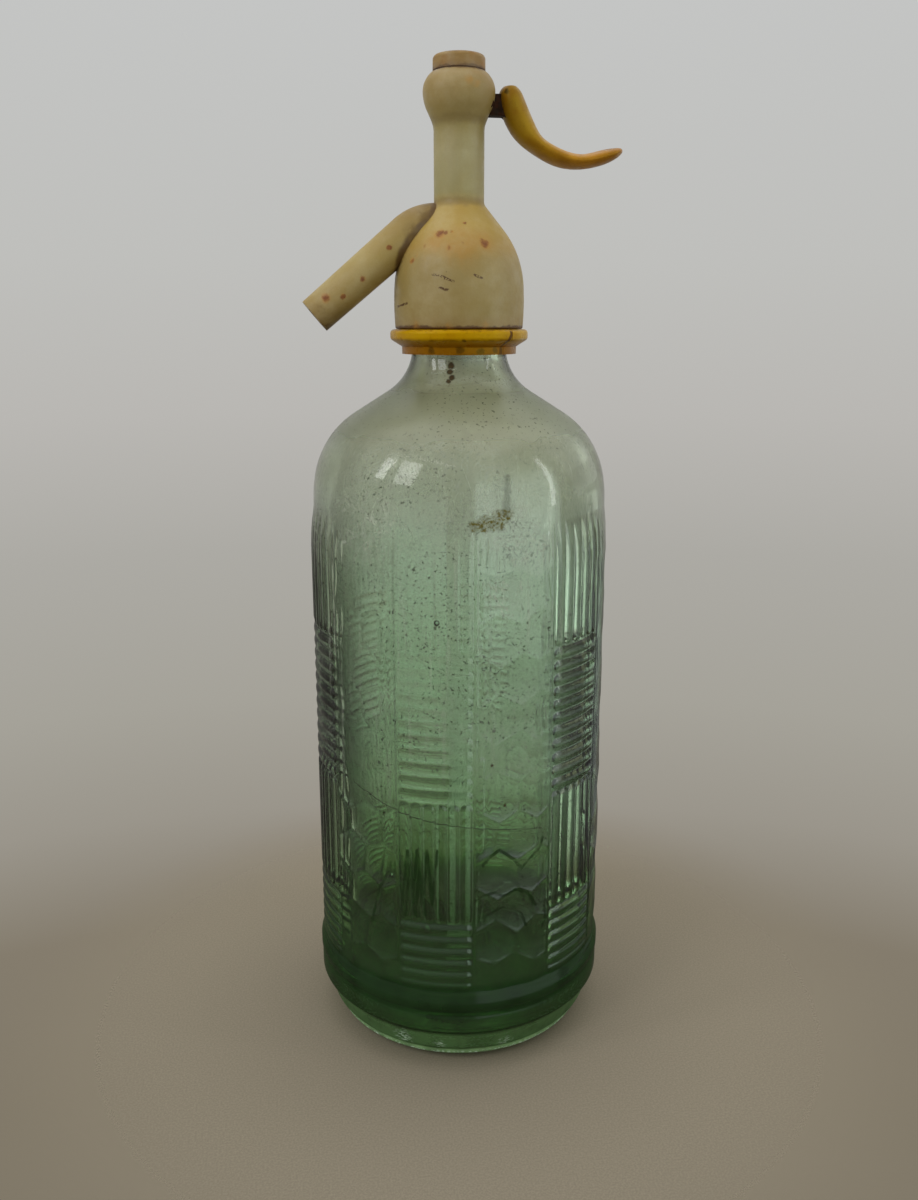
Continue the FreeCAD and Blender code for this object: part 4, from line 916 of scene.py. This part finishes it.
spout_paint = aged_plastic(
    "ivory_plastic_spout",
    tones(
        (232, 116, 90, 38), (240, 154, 130, 66), (252, 170, 150, 88), (261, 160, 136, 72),
        (269, 128, 100, 36),
    ),
    232,
    270,
    spots=[(-30, -6, 246, 0.7), (-36, -5.5, 241, 0.6), (-22, -6, 255, 0.6), (-41, -4.5, 240.5, 1.1)],
    creases=[(SPOUT_SEAM, 0.4, 1.4, 0.85)],
    smudges=[
        (-8.5, -3.0, 268.6, 4.5), (-11.0, -5.5, 264.5, 3.6), (-15.0, -6.0, 259.5, 3.2),
        (-43.0, -4.0, 237.0, 2.5),
    ],
    smudge_strength=0.9,
    smudge_tone=srgb(118, 92, 36),
    grime=[(232.0, 0.2, 1.2, 0.4)],
)
paint_nodes(spout_paint, "spout")
cap_paint = aged_plastic(
    "ivory_plastic_cap",
    tones((305, 116, 82, 30), (307, 142, 106, 36), (309, 146, 112, 44), (310, 110, 78, 34)),
    305,
    310,
    grime=[(305.2, 0.15, 0.6, 0.55), (309.6, 0.15, 0.7, 0.4)],
    smudges=[
        (-5.0, -6.0, 307.0, 2.0), (3.0, -7.3, 308.5, 2.0), (6.5, -4.0, 306.5, 1.8), (-2.0, 7.5, 307.0, 2.5),
    ],
)
paint_nodes(cap_paint, "top_cap")

COLLAR_TONES = tones(
    (224, 136, 84, 0), (227, 150, 100, 0), (228.2, 182, 140, 0), (231.5, 198, 156, 0), (240, 180, 130, 0),
)
COLLAR_DIRT = [
    (-2.5, -17.6, 225.4, 1.6), (-2.0, -20.9, 228.2, 0.7), (-11.1, -14.8, 225.2, 1.6),
    (3.6, -17.4, 224.8, 1.4), (8.6, -15.6, 225.6, 1.2),
]
# Heights of the painted shade along the collar's edges.
COLLAR_EDGE_SHADE = (231.3, 228.2, 224.1)
COLLAR_SEAM = [
    (13.2, -17.0, 231.6), (13.4, -17.0, 229.8), (12.6, -17.4, 228.3), (11.4, -16.2, 227.2),
    (10.6, -14.4, 225.6), (10.4, -14.4, 224.0),
]


def collar_plastic():
    """Ochre plastic collar, with painted shade along its edges and browner along its split."""
    p = Paint("ochre_plastic_collar")
    colour = p.ramp(p.z, COLLAR_TONES, 224, 240)
    colour = p.mix(p.span(p.noise(0.12, detail=4), 0.35, 0.7, 0.0, 0.4), colour, srgb(160, 104, 0))
    colour = p.mix(p.span(p.noise(0.7, detail=4), 0.55, 0.8, 0.0, 0.5), colour, srgb(112, 66, 4))
    colour = p.mix(p.times(p.spots(COLLAR_DIRT, 2.0), 0.7), colour, srgb(70, 38, 4))
    # Painted shade along the collar's edges, broken up by noise.
    for level in COLLAR_EDGE_SHADE:
        worn = p.span(p.noise(0.5, detail=3), 0.35, 0.65, 0.1, 0.6)
        colour = p.mix(p.times(p.band(p.z, level, 0.1, 0.5), worn), colour, srgb(108, 66, 0))
    colour = p.mix(p.line(COLLAR_SEAM, 0.42, 0.4, 0.8), colour, srgb(88, 46, 0))
    return p.plastic(
        colour,
        (0.4, 0.24, 0.42),
        p.bump(p.noise(1.0, detail=4), 0.06, 0.5),
        (0.004, 0.002, 0.0005),
        Specular_Tint=(1.0, 0.8, 0.12, 1),
        Specular_IOR_Level=0.35,
        Subsurface_Weight=0.1,
    )


paint_nodes(collar_plastic(), "collar_half_right", "collar_half_left")

HANDLE_TONES = tones((12, 128, 96, 12), (20, 162, 127, 28), (34, 184, 130, 32), (50, 166, 108, 12))
HANDLE_DIRT = [
    (14.0, -2.5, 281.0, 1.6), (13.0, -3.0, 284.0, 1.2), (16.0, -3.0, 279.6, 1.2), (13.4, -4.0, 299.5, 1.2),
]
HANDLE_SCUFF = [(43.0, -3.0, 283.6), (49.5, -1.5, 286.2)]


def handle_plastic():
    """Tan plastic handle: browner where the thumb rests and near the steel arm."""
    p = Paint("tan_plastic_handle")
    colour = p.ramp(p.x, HANDLE_TONES, 12, 50)
    colour = p.mix(p.span(p.noise(0.14, detail=4), 0.4, 0.7, 0.0, 0.6), colour, srgb(134, 86, 10))
    colour = p.mix(p.span(p.noise(1.6, detail=3), 0.5, 0.8, 0.0, 0.35), colour, srgb(96, 66, 24))
    colour = p.mix(p.times(p.spots(HANDLE_DIRT, 2.0, 0.6), 0.85), colour, srgb(44, 26, 4))
    scuff = p.times(p.line(HANDLE_SCUFF, 0.6, 1.2, 2.5), p.span(p.noise(0.9, detail=4), 0.42, 0.6))
    colour = p.mix(p.times(scuff, 0.6), colour, srgb(94, 54, 12))
    return p.plastic(
        colour,
        (0.5, 0.28, 0.5),
        p.bump(p.noise(1.2, detail=4), 0.06, 0.5),
        (0.004, 0.002, 0.0008),
        Specular_Tint=(1.0, 0.8, 0.2, 1),
        Subsurface_Weight=0.1,
    )


paint_nodes(handle_plastic(), "lever_handle")
RUST_GLOSS = 0.15
rusty = metal("rusty_steel", srgb(30, 15, 3), srgb(58, 28, 8), 0.0, (0.6, 0.85), RUST_GLOSS)
paint_nodes(rusty, "lever_arm", "lever_pin")
brass = metal("brass", srgb(196, 160, 84), srgb(132, 100, 48))
paint_nodes(brass, "seat_bush", "tube_nut", "washer_screw", "valve_piston", "spindle", "spindle_guide")
SPRING_RADIUS = 3.9
SPRING_WIRE = 0.45  # radius
SPRING_TURNS = 4.5
SPRING_STEPS, SPRING_SIDES = 108, 10


def make_spring():
    """The return spring, wound as the CAD winds it."""
    low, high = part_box("return_spring")
    foot, head = low.z / MM + SPRING_WIRE, high.z / MM - SPRING_WIRE
    steps, sides = SPRING_STEPS, SPRING_SIDES
    points, faces = [], []
    for step in range(steps + 1):
        swing = math.tau * SPRING_TURNS * step / steps
        middle = foot + (head - foot) * step / steps
        points += wire_ring(swing, SPRING_RADIUS, middle, SPRING_WIRE, sides)
    for start in range(0, steps * sides, sides):
        for side in range(sides):
            after = (side + 1) % sides
            faces.append((start + side, start + sides + side, start + sides + after, start + after))
    faces += [tuple(range(sides)), tuple(reversed(range(steps * sides, steps * sides + sides)))]
    mesh = new_mesh("coiled_spring", points, faces)
    mesh.shade_smooth()
    mesh.materials.append(metal("spring_steel", srgb(150, 150, 148), srgb(96, 92, 88)))
    spring = add_piece("coiled_spring", mesh)
    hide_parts("return_spring")
    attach(spring, "siphon")
    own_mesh(spring)


make_spring()


def rubber(name, dark, worn):
    """Old rubber with a paler bloom."""
    p = Paint(name)
    surface = p.shader(
        "Principled",
        Base_Color=p.mix(p.span(p.noise(0.5, detail=4), 0.4, 0.8), dark, worn),
        Roughness=p.span(p.noise(1.0, detail=3), 0.3, 0.7, 0.6, 0.85),
        Normal=p.bump(p.noise(1.5, detail=3), 0.04, 0.5),
    )
    return p.finish(surface)


paint_nodes(
    rubber("black_rubber", srgb(34, 33, 32), srgb(70, 66, 60)),
    "mouth_gasket", "seat_gasket", "tube_grommet", "valve_washer", "piston_ring_lower", "piston_ring_upper",
)
paint_nodes(rubber("brown_rubber", srgb(66, 42, 18), srgb(98, 70, 36)), "cap_washer")


def tube_plastic():
    """Clear dip tube, milky with scale in patches."""
    p = Paint("milky_tube")
    scale = p.span(p.noise(0.12, detail=4, stretch=(1, 1, 0.3)), 0.35, 0.7)
    milky = p.shader(
        "Principled",
        Base_Color=p.mix(scale, (0.92, 0.93, 0.88, 1), (0.78, 0.78, 0.66, 1)),
        Roughness=p.span(p.noise(0.3, detail=3), 0.3, 0.7, 0.25, 0.45),
        IOR=1.4,
        Normal=p.bump(p.noise(0.9, detail=3), 0.05, 0.4),
    )
    through = p.shader("Transparent", Color=(1.0, 1.0, 1.0, 1))
    return p.finish(p.blend(p.span(scale, 0, 1, 0.12, 0.26), through, milky))


paint_nodes(tube_plastic(), "dip_tube")

# ---------------------------------------------------------------- floor, light and camera

WALL = tones(  # the backdrop by the sine of the angle above the horizon
    (-0.6, 128, 120, 104), (-0.5, 132, 124, 109), (-0.42, 154, 149, 139), (-0.33, 165, 162, 153),
    (-0.2, 172, 170, 164), (-0.08, 185, 183, 179), (0.05, 191, 191, 188), (0.25, 196, 197, 196),
)
AROUND = (0.60, 0.59, 0.555, 1)  # what the backdrop gives as light
# Windows that only reflections show: degrees round from and to, and sines above the horizon from and to.
WINDOW = (-87.0, -16.0, -0.27, 0.42)
DIM_WINDOWS = [  # the same, and their share of the window's light
    (-16.0, 50.0, -0.43, -0.2, 0.38), (-87.0, -16.0, -0.52, -0.3, 0.1), (105.0, 175.0, -0.62, -0.5, 0.2),
]
WINDOW_LIGHT = (1.9, 2.2, 2.1, 1)
FLOOR_FADE = (90, 170)  # mm from the axis


def seen_directly(nodes):
    """1 for camera, glossy and transmission rays, 0 for diffuse ones."""
    rays = nodes.add("LightPath").outputs
    return nodes.most(rays["Is Camera Ray"], rays["Is Glossy Ray"], rays["Is Transmission Ray"])


def make_world():
    """A plain backdrop that lights evenly, with windows that only reflections show."""
    world = bpy.data.worlds.new("studio")
    bpy.context.scene.world = world
    world.use_nodes = True
    n = Nodes(world.node_tree)
    x, y, up = n.add("SeparateXYZ", n.add("TexCoord").outputs["Generated"]).outputs
    turn = n.math("ARCTAN2", y, x)
    low, high = WALL[0][0], WALL[-1][0]
    share = n.add("MapRange", up, low, high, 0.0, 1.0).outputs[0]
    backdrop = n.add("Background", n.colours(share, WALL, low, high)).outputs[0]

    def between(value, low, high, soft):
        rise = n.add("MapRange", value, low - soft, low + soft, 0.0, 1.0).outputs[0]
        fall = n.add("MapRange", value, high - soft, high + soft, 1.0, 0.0).outputs[0]
        return n.times(rise, fall)

    def pane(low_turn, high_turn, low_sine, high_sine, soft_turn, soft_sine):
        across = between(turn, math.radians(low_turn), math.radians(high_turn), soft_turn)
        return n.times(across, between(up, low_sine, high_sine, soft_sine))

    window = pane(*WINDOW, 0.03, 0.12)
    for *limits, share in DIM_WINDOWS:
        window = n.most(window, n.times(pane(*limits, 0.12, 0.06), share))
    window = n.times(window, n.add("LightPath").outputs["Is Glossy Ray"])
    seen = n.blend(window, backdrop, n.add("Background", WINDOW_LIGHT).outputs[0])
    n.add("OutputWorld", n.blend(seen_directly(n), n.add("Background", AROUND).outputs[0], seen))


def make_floor():
    """A pale disc that fades into the backdrop."""
    bpy.ops.mesh.primitive_circle_add(vertices=96, radius=2.5, fill_type="NGON", location=(0, 0, -0.0001))
    floor = bpy.context.object
    floor.name = "studio_floor"
    p = Paint("pale_floor")
    speckle = p.mix(p.span(p.noise(1.6, detail=4), 0.35, 0.7), srgb(139, 131, 115), srgb(151, 142, 126))
    reach = p.math("SQRT", p.plus(p.times(p.x, p.x), p.times(p.y, p.y)))
    fade = p.times(p.span(reach, *FLOOR_FADE), seen_directly(p))
    shown = p.blend(fade, p.shader("Diffuse", Color=speckle), p.shader("Transparent"))
    floor.data.materials.append(p.finish(shown))


def make_lamp(name, place, size, power, target=(0, 0, 0.17)):
    data = bpy.data.lights.new(name, "AREA")
    data.shape = "RECTANGLE"
    data.size, data.size_y = size
    data.energy = power
    lamp = add_piece(name, data)
    lamp.location = place
    lamp.rotation_euler = (Vector(target) - Vector(place)).to_track_quat("-Z", "Y").to_euler()


CAMERA_LENS = 32.61  # mm, on a sensor 36 mm wide
CAMERA_PLACE = (-0.0546, -0.3447, 0.234)
CAMERA_TILT, CAMERA_TURN = 75.58, -9  # degrees


def make_camera():
    data = bpy.data.cameras.new("camera")
    data.sensor_width = 36.0
    data.lens = CAMERA_LENS
    camera = add_piece("camera", data)
    camera.location = CAMERA_PLACE
    camera.rotation_euler = (math.radians(CAMERA_TILT), 0, math.radians(CAMERA_TURN))
    bpy.context.scene.camera = camera


make_world()
make_floor()
make_lamp("window_left_lamp", (-1.08, -0.29, 0.86), (0.18, 0.5), 1.5)
make_lamp("window_right_lamp", (-0.89, -0.67, 0.86), (0.35, 0.6), 2.3)
make_lamp("strip_lamp", (-0.69, -0.58, 1.25), (1.3, 0.035), 0.4)
make_lamp("side_lamp", (0.94, -0.42, 0.5), (0.08, 0.8), 0.7)
make_lamp("rear_lamp", (1.0, 0.35, 0.6), (0.9, 0.9), 1.0)
make_lamp("top_lamp", (0.1, 0.2, 1.2), (1.5, 1.5), 5.2)
make_camera()
bpy.context.scene.view_settings.view_transform = "Standard"
